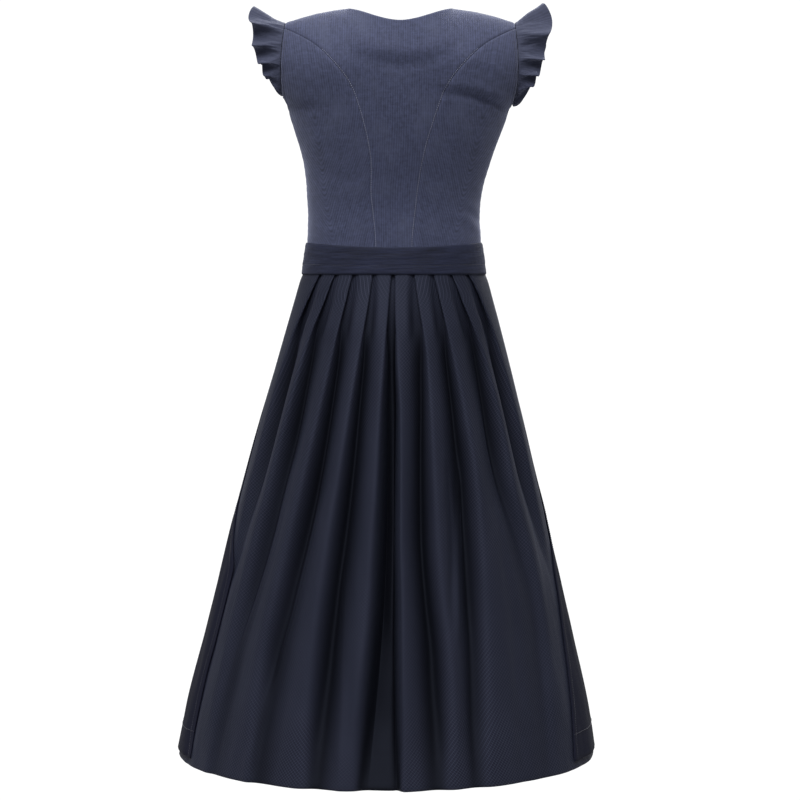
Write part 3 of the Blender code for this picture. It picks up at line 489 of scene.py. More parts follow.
class Shader:
    """Material whose nodes are written as expressions."""

    def __init__(self, name: str, constants: Mapping[str, object]) -> None:
        """Makes a material and sets the constants of its main shader.

        Args:
            name: the material's name.
            constants: values by the name of the socket.
        """
        self.material = bpy.data.materials.new(name)
        self.material.use_nodes = True
        self.tree = self.material.node_tree
        self.main = self.tree.nodes["Principled BSDF"]
        for key, value in constants.items():
            socket = self.main.inputs[key]
            socket.default_value = (*value, 1.0) if isinstance(value, tuple) else value

    def node(self, kind: str, settings: Mapping[str, object], values: Mapping[Union[int, str], object]
             ) -> bpy.types.Node:
        """Adds a node.

        Args:
            kind: the node's type.
            settings: its own settings.
            values: numbers, colours or sockets for its inputs.

        Returns:
            The node.
        """
        made = self.tree.nodes.new(kind)
        for key, value in settings.items():
            setattr(made, key, value)
        for key, value in values.items():
            if isinstance(value, Socket):
                self.tree.links.new(value.link, made.inputs[key])
            else:
                made.inputs[key].default_value = value
        return made

    def maths(self, operation: str, *values: Value) -> Socket:
        """Output of a Math node for an operation on some values."""
        made = self.node("ShaderNodeMath", {"operation": operation}, dict(enumerate(values)))
        return Socket(self, made.outputs[0])

    def flat(self) -> tuple[Socket, Socket]:
        """The cloth's flat coordinates, across and along, in metres."""
        place = self.node("ShaderNodeUVMap", {"uv_map": FLAT_MAP}, {})
        parts = self.node("ShaderNodeSeparateXYZ", {}, {"Vector": Socket(self, place.outputs[0])})
        return Socket(self, parts.outputs[0]), Socket(self, parts.outputs[1])

    def grain(self, scale: float, detail: float, distortion: float = 0.0) -> Socket:
        """Noise between 0 and 1 through the body of a piece, with so many spots to a metre."""
        place = Socket(self, self.node("ShaderNodeTexCoord", {}, {}).outputs["Object"])
        made = self.node("ShaderNodeTexNoise", {},
                         {"Vector": place, "Scale": scale, "Detail": detail, "Distortion": distortion})
        return Socket(self, made.outputs[0])

    def noise(self, across: Value, along: Value, detail: float = 2.0) -> Socket:
        """Noise between 0 and 1 over two coordinates that change by 1 from spot to spot."""
        place = self.node("ShaderNodeCombineXYZ", {}, {0: across, 1: along})
        made = self.node(
            "ShaderNodeTexNoise", {"noise_dimensions": "2D"},
            {"Vector": Socket(self, place.outputs[0]), "Scale": 1.0, "Detail": detail, "Roughness": 0.55},
        )
        return Socket(self, made.outputs[0])

    def mix(self, share: Value, low: Union[Colour, Socket], high: Union[Colour, Socket]) -> Socket:
        """Colour a share of the way from low to high."""
        colours = [(*c, 1.0) if isinstance(c, tuple) else c for c in (low, high)]
        made = self.node("ShaderNodeMix", {"data_type": "RGBA"}, {0: share, 6: colours[0], 7: colours[1]})
        return Socket(self, made.outputs[2])

    def wear(self, inputs: Mapping[str, Socket]) -> None:
        """Links what changes over the surface to the main shader's sockets."""
        for key, value in inputs.items():
            self.tree.links.new(value.link, self.main.inputs[key])

    def relief(self, height: Socket, distance: float, strength: float = 1.0) -> None:
        """Raises the surface by a height between 0 and 1 times a distance in metres."""
        made = self.node("ShaderNodeBump", {}, {"Height": height, "Distance": distance, "Strength": strength})
        self.wear({"Normal": Socket(self, made.outputs["Normal"])})


@dataclass(frozen=True)
class Corduroy:
    """Fine ribbed pile cloth; its ribs follow the first flat coordinate."""

    name: str
    rib: Colour = (0.0445, 0.052, 0.102)
    groove: Colour = (0.016, 0.0188, 0.0365)
    faded: Colour = (0.049, 0.056, 0.096)
    wale: float = 0.0034

    def make(self) -> bpy.types.Material:
        """The material."""
        shader = Shader(self.name, {"Roughness": 0.88, "Sheen Weight": 0.3, "Sheen Roughness": 0.42,
                                    "Sheen Tint": NAP_TINT, "Specular IOR Level": 0.25})
        across, along = shader.flat()
        drift = shader.noise(across * 55, along * 14) - 0.5
        rib = (across + drift * (self.wale * 0.5)).cosine(self.wale)
        tuft = shader.noise(across * 900, along * 520, 3.0)
        cloud = shader.noise(across * 24, along * 16, 3.0)
        streak = shader.noise(across * 420, along * 26)
        cross = shader.noise(across * 60, along * 380)
        mottle = shader.noise(across * 180, along * 150, 3.0)
        pile = rib * 0.4 + tuft * 0.6 + streak * 0.45 + cross * 0.45 + mottle * 0.85 - 0.87
        colour = shader.mix(pile, self.groove, self.rib)
        shader.wear({"Base Color": shader.mix(cloud.between(0.45, 0.8) * 0.45, colour, self.faded)})
        shader.relief(rib * 0.6 + tuft * 0.5 + cross * 0.2, 0.00034)
        return shader.material


@dataclass(frozen=True)
class SlubWeave:
    """Plain cloth whose weft has thick places that run across it as short streaks."""

    name: str
    thread: Colour = (0.0155, 0.02, 0.051)
    shade: Colour = (0.002, 0.0028, 0.0085)
    pitch: float = 0.0011

    def make(self) -> bpy.types.Material:
        """The material."""
        shader = Shader(self.name, {"Roughness": 0.8, "Sheen Weight": 0.1, "Sheen Roughness": 0.45,
                                    "Sheen Tint": NAP_TINT, "Specular IOR Level": 0.2})
        across, along = shader.flat()
        slub = shader.noise(across * 28, along * 620, 2.0)
        fleck = shader.noise(across * 300, along * 800, 3.0)
        weave = across.cosine(self.pitch) * along.cosine(self.pitch)
        cloud = shader.noise(across * 12, along * 60, 2.0)
        light = slub * 0.75 + fleck * 0.45 + weave * 0.12 + cloud * 0.5 - 0.55
        shader.wear({"Base Color": shader.mix(light, self.shade, self.thread)})
        shader.relief(slub * 0.6 + fleck * 0.4 + weave * 0.2, 0.00035)
        return shader.material


@dataclass(frozen=True)
class Jacquard:
    """Cloth with a small lattice woven in its own colour, a little glossier than its ground; painted shade in
    its folds.
    """

    name: str
    ground: Colour = (0.0044, 0.0051, 0.0094)
    lattice: Colour = (0.0285, 0.0312, 0.05)
    # painted shade: the colour the cloth is darkened to where it lies deep in a fold
    deep: Colour = (0.0018, 0.002, 0.0031)
    sheen: Colour = (0.5, 0.58, 0.95)
    pitch: float = 0.0054
    line: float = 0.3

    def make(self) -> bpy.types.Material:
        """The material."""
        shader = Shader(self.name, {"Sheen Weight": 0.02, "Sheen Roughness": 0.4, "Sheen Tint": self.sheen,
                                    "Specular IOR Level": 0.1, "Specular Tint": SHINE_TINT})
        across, along = shader.flat()
        rising = (across + along).zigzag(self.pitch)
        falling = (across - along).zigzag(self.pitch)
        lines = shader.maths("MAXIMUM", *((1 - way).between(1 - self.line, 1.0) for way in (rising, falling)))
        heart = shader.maths("MINIMUM", rising, falling).between(0.72, 0.95)
        thread = shader.noise(across * 1100, along * 1100, 2.0)
        cloud = shader.noise(across * 18, along * 7, 3.0)
        woven = shader.maths("MAXIMUM", lines, heart * 0.8)
        light = woven * 0.9 + thread * 0.3 + cloud * 0.2 - 0.2
        # painted shade: the attribute darkens the colour towards the deep colour where the skirt lies deep in
        # its folds
        laid = shader.node("ShaderNodeAttribute", {"attribute_name": FOLD_SHADE_MAP}, {})
        depth = Socket(shader, laid.outputs["Fac"])
        shade = shader.mix(light, self.ground, self.lattice)
        shader.wear({"Base Color": shader.mix(depth, shade, self.deep), "Roughness": 0.56 - woven * 0.12})
        shader.relief(woven * 0.6 + thread * 0.4, 0.00022)
        return shader.material


@dataclass(frozen=True)
class PlainWeave:
    """Close plain cloth of fine threads, as the apron's, a facing's or a lining's."""

    name: str
    thread: Colour = (0.0112, 0.0119, 0.022)
    shade: Colour = (0.0062, 0.0066, 0.0124)
    pitch: float = 0.0012
    roughness: float = 0.52

    def make(self) -> bpy.types.Material:
        """The material."""
        shader = Shader(self.name, {"Roughness": self.roughness, "Specular IOR Level": 0.03,
                                    "Specular Tint": SHINE_TINT})
        across, along = shader.flat()
        warp = shader.noise(across * 900, along * 60, 2.0)
        weft = shader.noise(across * 60, along * 900, 2.0)
        weave = across.cosine(self.pitch) * along.cosine(self.pitch)
        cloud = shader.noise(across * 14, along * 9, 2.0)
        light = warp * 0.4 + weft * 0.4 + weave * 0.25 + cloud * 0.35 - 0.25
        shader.wear({"Base Color": shader.mix(light, self.shade, self.thread)})
        shader.relief(warp * 0.4 + weft * 0.4 + weave * 0.3, 0.0002)
        return shader.material


@dataclass(frozen=True)
class SewingThread:
    """Spun thread of the stitches, between a light and a dark shade."""

    name: str
    light: Colour = (0.25, 0.265, 0.35)
    dark: Colour = (0.15, 0.162, 0.23)

    def make(self) -> bpy.types.Material:
        """The material."""
        shader = Shader(self.name, {"Roughness": 0.6, "Sheen Weight": 0.2, "Specular IOR Level": 0.35})
        share = shader.grain(900.0, 2.0)
        shader.wear({"Base Color": shader.mix(share, self.dark, self.light)})
        shader.relief(share, 0.0001)
        return shader.material


@dataclass(frozen=True)
class DarkHorn:
    """Polished dark horn of the buttons."""

    name: str
    light: Colour = (0.056, 0.054, 0.06)
    dark: Colour = (0.016, 0.016, 0.02)

    def make(self) -> bpy.types.Material:
        """The material."""
        shader = Shader(self.name, {"Specular IOR Level": 0.5, "Coat Weight": 0.25, "Coat Roughness": 0.12})
        share = shader.grain(160.0, 4.0, 1.6)
        colour = shader.mix(share.between(0.35, 0.7), self.dark, self.light)
        shader.wear({"Base Color": colour, "Roughness": share * 0.25 + 0.22})
        shader.relief(share, 0.00005)
        return shader.material


@dataclass(frozen=True)
class Matt:
    """Pale paper of the studio floor."""

    name: str
    colour: Colour = (0.84, 0.84, 0.84)

    def make(self) -> bpy.types.Material:
        """The material."""
        look = {"Base Color": self.colour, "Roughness": 0.95, "Specular IOR Level": 0.1}
        return Shader(self.name, look).material


@dataclass
class Cloths:
    """Every finish of the dress."""

    corduroy: bpy.types.Material = field(default_factory=Corduroy("corduroy").make)
    ruffle: bpy.types.Material = field(default_factory=Corduroy(
        "ruffle_corduroy", rib=(0.033, 0.0375, 0.068), groove=(0.019, 0.022, 0.04),
        faded=(0.043, 0.048, 0.078)).make)
    lining: bpy.types.Material = field(default_factory=PlainWeave(
        "lining", thread=(0.03, 0.034, 0.06), shade=(0.019, 0.0215, 0.04), roughness=0.55).make)
    band: bpy.types.Material = field(default_factory=SlubWeave("band_cloth").make)
    skirt: bpy.types.Material = field(default_factory=Jacquard("skirt_cloth").make)
    apron: bpy.types.Material = field(default_factory=PlainWeave("apron_cloth").make)
    thread: bpy.types.Material = field(default_factory=SewingThread("sewing_thread").make)
    dark_thread: bpy.types.Material = field(default_factory=SewingThread(
        "dark_thread", light=(0.018, 0.0195, 0.034), dark=(0.01, 0.011, 0.02)).make)
    horn: bpy.types.Material = field(default_factory=DarkHorn("horn").make)


# ---- The worn form ----


@dataclass
class WornForm:
    """The form that the bodice and the skirt keep, the same as the solids'."""

    sway_places: Table = (
        (-1.108, -0.0225), (-0.73, -0.0167), (-0.39, -0.011), (-0.28, -0.0108), (-0.22, -0.0065),
        (-0.16, -0.0042), (0.01, -0.0015),
    )
    torso: Table = (  # height, half width, depth of the back, depth of the front
        (-0.372, 0.1325, 0.097, 0.107), (-0.342, 0.1297, 0.0935, 0.104), (-0.3, 0.1285, 0.093, 0.105),
        (-0.26, 0.1316, 0.098, 0.115), (-0.22, 0.14, 0.107, 0.131), (-0.189, 0.15, 0.113, 0.14),
        (-0.16, 0.16, 0.117, 0.141), (-0.14, 0.1665, 0.1185, 0.137), (-0.12, 0.181, 0.119, 0.131),
        (-0.1, 0.19, 0.119, 0.125), (-0.07, 0.198, 0.117, 0.115), (-0.03, 0.2, 0.108, 0.103),
        (0.01, 0.2, 0.098, 0.095),
    )
    skirt: Table = (  # as the torso's
        (-0.3723, 0.134, 0.0985, 0.1085), (-0.3885, 0.1361, 0.101, 0.1105), (-0.3975, 0.1396, 0.104, 0.113),
        (-0.4274, 0.1481, 0.114, 0.1205), (-0.4573, 0.1565, 0.1235, 0.128),
        (-0.5174, 0.1728, 0.141, 0.1425), (-0.5775, 0.1887, 0.1575, 0.156),
        (-0.6529, 0.2076, 0.177, 0.1715), (-0.7284, 0.2262, 0.1945, 0.186), (-0.8042, 0.2436, 0.2105, 0.2),
        (-0.8801, 0.2618, 0.226, 0.213), (-0.9563, 0.2802, 0.241, 0.226), (-1.0327, 0.2988, 0.256, 0.238),
        (-1.108, 0.3122, 0.27, 0.25),
    )
    neck_half_width: float = 0.0795
    shoulder_tip_x: float = 0.1707
    shoulder_peak_z: float = 0.0045
    shoulder_tip_z: float = -0.0163
    shoulder_round: float = 0.11
    neck_rise: float = 0.03
    shoulder_bulge: float = 0.0028

    def __post_init__(self) -> None:
        """Turns the tables into curves."""
        self.sway = column(self.sway_places, 1)
        self.half_width = column(self.torso, 1)
        self.depth = {Face.BACK: column(self.torso, 2), Face.FRONT: column(self.torso, 3)}
        self.skirt_half_width = column(self.skirt, 1)
        self.skirt_back = column(self.skirt, 2)
        self.skirt_front = column(self.skirt, 3)

    def shoulder_line(self, x: Array) -> Array:
        """Height of the top of the shoulders at a distance from the centre line."""
        x = np.abs(x)
        inside = self.shoulder_peak_z + self.neck_rise * (1 - (x / self.neck_half_width) ** 2)
        share = (x - self.neck_half_width) / (self.shoulder_tip_x - self.neck_half_width)
        seam = (self.shoulder_peak_z + (self.shoulder_tip_z - self.shoulder_peak_z) * share
                + self.shoulder_bulge * np.sin(math.pi * np.minimum(share, 1.0)))
        return np.where(x <= self.neck_half_width, inside, seam)

    def torso_point(self, face: Face, angle: Array, z: Array) -> Array:
        """Points on the outer face of the bodice.

        Args:
            face: back or front.
            angle: degrees from the centre line.
            z: heights.

        Returns:
            The points.
        """
        angle, z = np.broadcast_arrays(angle, z)
        x = self.half_width(z) * np.sin(np.radians(angle))
        drop = np.maximum(0.0, self.shoulder_line(x) - z)
        rounding = np.sqrt(1 - (1 - np.minimum(drop / self.shoulder_round, 1.0)) ** 2)
        y = SEAM_GAP / 2 + self.depth[face](z) * np.cos(np.radians(angle)) * rounding
        return np.stack([x + self.sway(z), face.value * y, z], axis=-1)

    def torso_angle(self, x: Array, z: Array) -> Array:
        """Angle at which the bodice is x from the centre line."""
        return np.degrees(np.arcsin(np.clip(x / self.half_width(z), -1.0, 1.0)))

    def ring_point(self, half_width: Array, back: Array, front: Array, z: Array, angle: Array,
                   out: Array) -> Array:
        """Points beside an oval ring round the dress.

        Args:
            half_width: half the ring's width.
            back: its depth behind.
            front: its depth in front.
            z: its height.
            angle: degrees round it from the centre back.
            out: distance outwards from the ring.

        Returns:
            The points.
        """
        turn = np.radians(angle)
        depth = np.where(np.cos(turn) >= 0, back, front)
        outwards = unit(np.stack([depth * np.sin(turn), -half_width * np.cos(turn)], axis=-1))
        x = self.sway(z) + half_width * np.sin(turn) + outwards[..., 0] * out
        y = -depth * np.cos(turn) + outwards[..., 1] * out
        return np.stack([x, y, np.broadcast_to(z, x.shape)], axis=-1)

    def skirt_point(self, z: Array, angle: Array, out: Array) -> Array:
        """Points beside the skirt's oval, out from it."""
        sizes = (self.skirt_half_width(z), self.skirt_back(z), self.skirt_front(z))
        return self.ring_point(*sizes, z, angle, out)

    def degrees_for(self, z: float, angle: float, length: float) -> float:
        """Angle that a length of cloth takes on the skirt's oval."""
        turn = math.radians(angle)
        across = float(self.skirt_half_width(z)) * math.cos(turn)
        deep = float(self.skirt_back(z)) * math.sin(turn)
        return math.degrees(length / math.hypot(across, deep))


# ---- Bodice ----


@dataclass(frozen=True)
class Crease:
    """Soft fold along a line of (x, z) places on the back or front: a ridge, and a trough below it."""

    places: Table
    height: float
    width: float
    trough: float = 0.0
    ridge_place: float = 0.4  # from the line, in widths, as are the next two
    trough_place: float = 1.28
    trough_width: float = 0.8
    end_share: float = 0.06
    end_power: float = 0.7

    def relief(self, x: Array, z: Array) -> Array:
        """Relief of the fold over the cloth.

        Args:
            x: distance from the centre line.
            z: height.

        Returns:
            How far it raises the cloth.
        """
        nearest = np.full(x.shape, np.inf)
        aside = np.zeros(x.shape)
        along = np.zeros(x.shape)
        places = np.array(self.places)
        lengths = np.linalg.norm(np.diff(places, axis=0), axis=1)
        for number, (start, end) in enumerate(zip(places, places[1:])):
            way = (end - start) / lengths[number]
            ahead = np.clip((x - start[0]) * way[0] + (z - start[1]) * way[1], 0, lengths[number])
            dx, dz = x - start[0] - way[0] * ahead, z - start[1] - way[1] * ahead
            distance = np.hypot(dx, dz)
            closer = distance < nearest
            nearest = np.where(closer, distance, nearest)
            aside = np.where(closer, np.copysign(distance, way[0] * dz - way[1] * dx), aside)
            along = np.where(closer, lengths[:number].sum() + ahead, along)
        share = self.end_share + (1 - 2 * self.end_share) * along / lengths.sum()
        fade = np.sin(math.pi * np.clip(share, 0, 1)) ** self.end_power
        ridge = bump((aside - self.width * self.ridge_place) / self.width)
        trough = bump((aside + self.width * self.trough_place) / (self.width * self.trough_width))
        return fade * (self.height * ridge - self.trough * trough)


@dataclass
class Bodice:
    """Seven panels of corduroy, sewn at the princess, side and shoulder seams."""

    form: WornForm
    cloths: Cloths
    hem_z: float = -0.372
    back_neck_z: float = -0.0208
    front_neck_z: float = -0.135
    underarm_z: float = -0.14
    wall: float = 0.0013
    rows_round: int = 30
    rows_plain: int = 62
    columns_centre: int = 96
    columns_side: int = 52
    armhole_stitch: float = 0.0072
    closure_stitch: float = 0.005
    princess_stitch: float = 0.0016
    princess_stitch_top_z: float = -0.06
    metres_in_degree: float = 0.0028
    evening_rounds: int = 700
    inset_turn: float = 0.8
    slack: float = 0.0001
    seam_groove: Swell = Swell(-0.0008, 0.0016)
    seam_swell: Swell = Swell(0.0003, 0.0042, 0.0052)
    pucker: Swell = Swell(0.00016, 0.004, 0.004)
    pucker_length: float = 0.011
    pucker_drift: Unevenness = Unevenness(3.0, 9.0, 1.0, 3.3)
    turned_edge: Swell = Swell(-0.0009, 0.0012)
    turned_swell: Swell = Swell(0.0003, 0.003, 0.004)
    stitch_groove: Swell = Swell(-0.00035, 0.0008)
    broad_waves: Unevenness = Unevenness(0.00045, 14.0, 11.0, 1.3)
    fine_waves: Unevenness = Unevenness(0.00012, 60.0, 45.0, 2.1)
    back_princess: Table = (
        (-0.372, 0.0275), (-0.34, 0.0282), (-0.314, 0.0304), (-0.268, 0.0353), (-0.232, 0.0378),
        (-0.19, 0.0459), (-0.148, 0.0582), (-0.107, 0.0764), (-0.08, 0.098), (-0.05, 0.1297),
        (-0.0256, 0.171),
    )
    back_princess_top_z: float = -0.0256
    front_princess: Table = (
        (-0.372, 0.045), (-0.3, 0.047), (-0.25, 0.058), (-0.2, 0.072), (-0.16, 0.086), (-0.12, 0.106),
        (-0.09, 0.129), (-0.068, 0.156), (-0.056, 0.1735),
    )
    front_princess_top_z: float = -0.056
    armhole: Table = (
        (-0.14, 0.1665), (-0.12, 0.1735), (-0.09, 0.1745), (-0.056, 0.1735), (-0.0256, 0.171),
        (-0.0163, 0.1707),
    )
    fan_axis: Table = (  # height, distance from the centre line of the side panels' middle rib
        (-0.372, 0.083), (-0.32, 0.093), (-0.26, 0.104), (-0.2, 0.115), (-0.14, 0.126), (0.01, 0.15),
    )
    fan_slant: Table = (  # height, how far the side panels' ribs have moved aside
        (-0.372, 0.096), (-0.33, 0.079), (-0.29, 0.061), (-0.25, 0.0425), (-0.215, 0.026), (-0.18, 0.012),
        (-0.15, 0.0035), (-0.12, 0.0), (0.01, 0.0),
    )
    fan_round: float = 0.0022
    centre_fan: float = 0.1
    centre_fan_z: float = -0.1
    back_creases: tuple[Crease, ...] = (
        Crease(((0.062, -0.118), (0.088, -0.119), (0.112, -0.123), (0.138, -0.1295), (0.168, -0.14)),
               0.003, 0.0068, 0.005),
        Crease(((-0.068, -0.056), (-0.03, -0.07), (0.004, -0.076), (0.04, -0.07), (0.066, -0.058)),
               0.0018, 0.011, 0.0022),
        Crease(((0.092, -0.078), (0.12, -0.085), (0.15, -0.098)), 0.0009, 0.007, 0.0008),
        Crease(((-0.168, -0.13), (-0.142, -0.138), (-0.112, -0.139)), 0.0016, 0.0075, 0.0018),
        Crease(((-0.13, -0.205), (-0.1, -0.23), (-0.062, -0.242)), 0.0007, 0.009, 0.0006),
        Crease(((0.132, -0.33), (0.112, -0.308), (0.085, -0.298)), 0.001, 0.007, 0.0008),
        Crease(((-0.126, -0.316), (-0.1, -0.33), (-0.07, -0.326)), 0.0006, 0.008, 0.0005),
    )
    front_creases: tuple[Crease, ...] = (
        Crease(((0.06, -0.123), (0.1, -0.118), (0.15, -0.134)), 0.0018, 0.0085, 0.0014),
        Crease(((-0.06, -0.12), (-0.104, -0.118), (-0.152, -0.13)), 0.0016, 0.009, 0.0013),
        Crease(((0.128, -0.23), (0.095, -0.252), (0.06, -0.256)), 0.0008, 0.009, 0.0007),
        Crease(((-0.128, -0.234), (-0.096, -0.25), (-0.062, -0.26)), 0.0008, 0.009, 0.0007),
        Crease(((0.124, -0.324), (0.092, -0.312), (0.06, -0.316)), 0.0009, 0.008, 0.0007),
        Crease(((-0.124, -0.32), (-0.094, -0.312), (-0.06, -0.318)), 0.0009, 0.008, 0.0007),
    )

    def __post_init__(self) -> None:
        """Turns the tables into curves."""
        self.princess = {Face.BACK: Spline(self.back_princess), Face.FRONT: Spline(self.front_princess)}
        self.princess_top_z = {Face.BACK: self.back_princess_top_z, Face.FRONT: self.front_princess_top_z}
        self.armhole_x = column(self.armhole, 1)
        self.nets: dict[str, Net] = {}

    def inset(self, x: Array, z: Array) -> Array:
        """Angle that half a seam gap takes on the bodice."""
        turn = np.radians(self.form.torso_angle(x, z)) * self.inset_turn
        return np.degrees(SEAM_GAP / 2 / self.form.half_width(z)) / np.cos(turn)

    def edge_place(self, curve: Curve, z: Array, inset: float) -> Array:
        """Angles and heights on a seam or on the armhole, moved aside by a share of the seam gap."""
        x = curve(z)
        return np.stack([self.form.torso_angle(x, z) + inset * self.inset(x, z), z])

    def shares_up(self) -> Array:
        """Shares of a centre panel's height, close together where the shoulders round over."""
        height = self.form.shoulder_tip_z - self.hem_z
        turns = np.radians(90 * np.arange(self.rows_round + 1) / self.rows_round)
        curved = 1 - self.form.shoulder_round / height * (1 - np.cos(turns))
        plain = curved[-1] * np.arange(self.rows_plain) / self.rows_plain
        return np.concatenate([plain, curved[::-1]])

    def fill(self, left: Array, right: Array, top: Array, across: Array, up: Array) -> Array:
        """Fills the net between three edges of (angle, z) places and a level lower edge.

        Args:
            left: places of the first column, 2 by rows.
            right: places of the last column.
            top: places of the upper edge, 2 by columns; its ends are moved onto the other two.
            across: shares of the columns.
            up: shares of the rows.

        Returns:
            Angles and heights, 2 by rows by columns.
        """
        top = top.copy()
        top[:, 0], top[:, -1] = left[:, -1], right[:, -1]
        level = np.full(across.shape, self.hem_z)
        bottom = np.stack([left[0, 0] + (right[0, 0] - left[0, 0]) * across, level])
        u, v = across[None, None, :], up[None, :, None]
        ruled = (1 - v) * bottom[:, None, :] + v * top[:, None, :]
        to_left, to_right = left[:, :, None] - ruled[:, :, :1], right[:, :, None] - ruled[:, :, -1:]
        return ruled + (1 - u) * to_left + u * to_right

    def evened(self, places: Array) -> Array:
        """Spreads the inner points of a net evenly, so that its columns don't cross beside a hollow edge."""
        size = np.array([self.metres_in_degree, 1.0])[:, None, None]
        net = places * size
        for _ in range(self.evening_rounds):
            across = (net[:, 1:-1, 2:] - net[:, 1:-1, :-2]) / 2
            up = (net[:, 2:, 1:-1] - net[:, :-2, 1:-1]) / 2
            twist = (net[:, 2:, 2:] - net[:, 2:, :-2] - net[:, :-2, 2:] + net[:, :-2, :-2]) / 4
            a, b, c = (up ** 2).sum(0), (across * up).sum(0), (across ** 2).sum(0)
            beside = a * (net[:, 1:-1, 2:] + net[:, 1:-1, :-2]) + c * (net[:, 2:, 1:-1] + net[:, :-2, 1:-1])
            net[:, 1:-1, 1:-1] = (beside - 2 * b * twist) / (2 * (a + c))
        return net / size

    def neck_and_shoulder(self, face: Face, share: Array) -> Array:
        """Top edge of half a centre panel: the neckline up to half way, then the shoulder seam."""
        form = self.form
        along = np.minimum(share / 0.5, 1.0)
        if face is Face.BACK:
            neck_x = form.neck_half_width * along
            rise = (along ** 2 + smooth_step(along)) / 2
            neck_z = self.back_neck_z + (form.shoulder_peak_z - self.back_neck_z) * rise
        else:
            turn = np.radians(90 * along)
            neck_x = form.neck_half_width * np.sin(turn)
            neck_z = self.front_neck_z + (form.shoulder_peak_z - self.front_neck_z) * (1 - np.cos(turn))
        out_x = form.neck_half_width + (form.shoulder_tip_x - form.neck_half_width) * (share - 0.5) / 0.5
        x = np.where(share <= 0.5, neck_x, out_x)
        z = np.where(share <= 0.5, neck_z, form.shoulder_line(out_x))
        return np.stack([form.torso_angle(x, z), z])

    def centre_seam(self, face: Face, v: Array) -> Array:
        """Places on the centre panel's side of a princess seam, for shares of its height."""
        z = self.hem_z + (self.form.shoulder_tip_z - self.hem_z) * v
        below = self.edge_place(self.princess[face], z, -1)
        above = self.edge_place(self.armhole_x, z, -1)
        return np.where(z < self.princess_top_z[face], below, above)

    def back_centre(self) -> Net:
        """Centre back panel with both back shoulders."""
        u = np.linspace(0, 1, self.columns_centre + 1)
        v = self.shares_up()
        right = self.centre_seam(Face.BACK, v)
        left = np.stack([-right[0], right[1]])
        top = self.neck_and_shoulder(Face.BACK, np.abs(2 * u - 1))
        top[0] *= np.where(u < 0.5, -1, 1)
        return self.on_body(Face.BACK, *self.fill(left, right, top, u, v))

    def front_centre(self, side: Side) -> Net:
        """Centre front panel with one front shoulder, from the closure to the princess seam."""
        u = np.linspace(0, 1, self.columns_centre * 2 // 3 + 1)
        v = self.shares_up()
        close_z = self.hem_z + (self.front_neck_z - self.hem_z) * v
        closure = np.stack([self.inset(np.zeros(v.shape), close_z), close_z])
        seam = self.centre_seam(Face.FRONT, v)
        angle, z = self.evened(self.fill(closure, seam, self.neck_and_shoulder(Face.FRONT, u), u, v))
        return self.on_body(Face.FRONT, side.value * angle, z)

    def side_panel(self, face: Face, side: Side) -> Net:
        """Side panel between a princess seam and the side seam, cut away for the armhole."""
        top_z = self.princess_top_z[face]
        u = np.linspace(0, 1, self.columns_side + 1)
        whole = (top_z - self.hem_z) / (self.form.shoulder_tip_z - self.hem_z)
        shares = self.shares_up()
        v = np.append(shares[shares < whole - 1e-4] / whole, 1.0)
        seam = self.edge_place(self.princess[face], self.hem_z + (top_z - self.hem_z) * v, 1)
        side_z = self.hem_z + (self.underarm_z - self.hem_z) * v
        edge = np.stack([90 - np.degrees(SEAM_GAP / 2 / self.form.half_width(side_z)), side_z])
        top = self.edge_place(self.armhole_x, top_z + (self.underarm_z - top_z) * u, 0)
        top[0] = np.minimum(top[0], edge[0, -1])
        angle, z = self.fill(seam, edge, top, u, v)
        return self.on_body(face, side.value * angle, z)

    def on_body(self, face: Face, angle: Array, z: Array) -> Net:
        """Net on the worn form with its creases and its unevenness, before its edges are sewn."""
        points = self.form.torso_point(face, angle, z)
        x = points[..., 0] - self.form.sway(z)
        relief = sum(crease.relief(x, z) for crease in
                     (self.back_creases if face is Face.BACK else self.front_creases))
        relief = relief + self.broad_waves.relief(x, z, face.value) + self.fine_waves.relief(x, z)
        return Net(points, self.wale_plan(face, x, z)).raised(relief - self.slack)

    def wale_plan(self, face: Face, x: Array, z: Array) -> Array:
        """Flat coordinates whose first follows the ribs: upright, fanning from a line in the side panels."""
        on_side = np.abs(x) > self.princess[face](z)
        fan = np.sqrt((np.abs(x) - column(self.fan_axis, 1)(z)) ** 2 + self.fan_round ** 2)
        plain = x + self.centre_fan * (z - self.centre_fan_z) * np.abs(x)
        return np.stack([np.where(on_side, fan + column(self.fan_slant, 1)(z), plain), z], axis=-1)

    def sewn(self, net: Net, seams: Sequence[Edge], turned: Sequence[Edge],
             stitched: Mapping[Edge, float]) -> Net:
        """Presses a net's seams in, turns its free edges under and draws in its rows of stitches.

        Args:
            net: the panel's net.
            seams: edges sewn to a neighbour.
            turned: free edges.
            stitched: distance of a row of stitches from an edge.

        Returns:
            The sewn net.
        """
        relief = np.zeros(net.points.shape[:2])
        height = net.points[..., 2]
        drift = self.pucker_drift.relief(height, 0 * height)
        pucker = np.sin(height * 2 * math.pi / self.pucker_length + drift)
        for edge in seams:
            away = net.from_edge(edge)
            relief += self.seam_groove.relief(away) + pucker * self.pucker.relief(away)
            relief += self.seam_swell.relief(away)
        for edge in turned:
            away = net.from_edge(edge)
            relief += self.turned_edge.relief(away) + self.turned_swell.relief(away)
        for edge, distance in stitched.items():
            relief += self.stitch_groove.relief(net.from_edge(edge) - distance)
        return net.raised(relief)

    def add(self, name: str, net: Net, held_by: Sequence[str], flat: tuple[float, float],
            area: float) -> None:
        """Makes a panel from its net, in place of the solid of the same name.

        Args:
            name: the solid's name.
            net: its outer face.
            held_by: names of the solids it is sewn to; not used.
            flat: width and length of its cut; not used.
            area: flat area of its cut; not used.
        """
        piece = shell(f"cloth_{name}", net, self.wall, [self.cloths.corduroy, self.cloths.lining])
        dressed(piece, [name])
        self.nets[name] = net

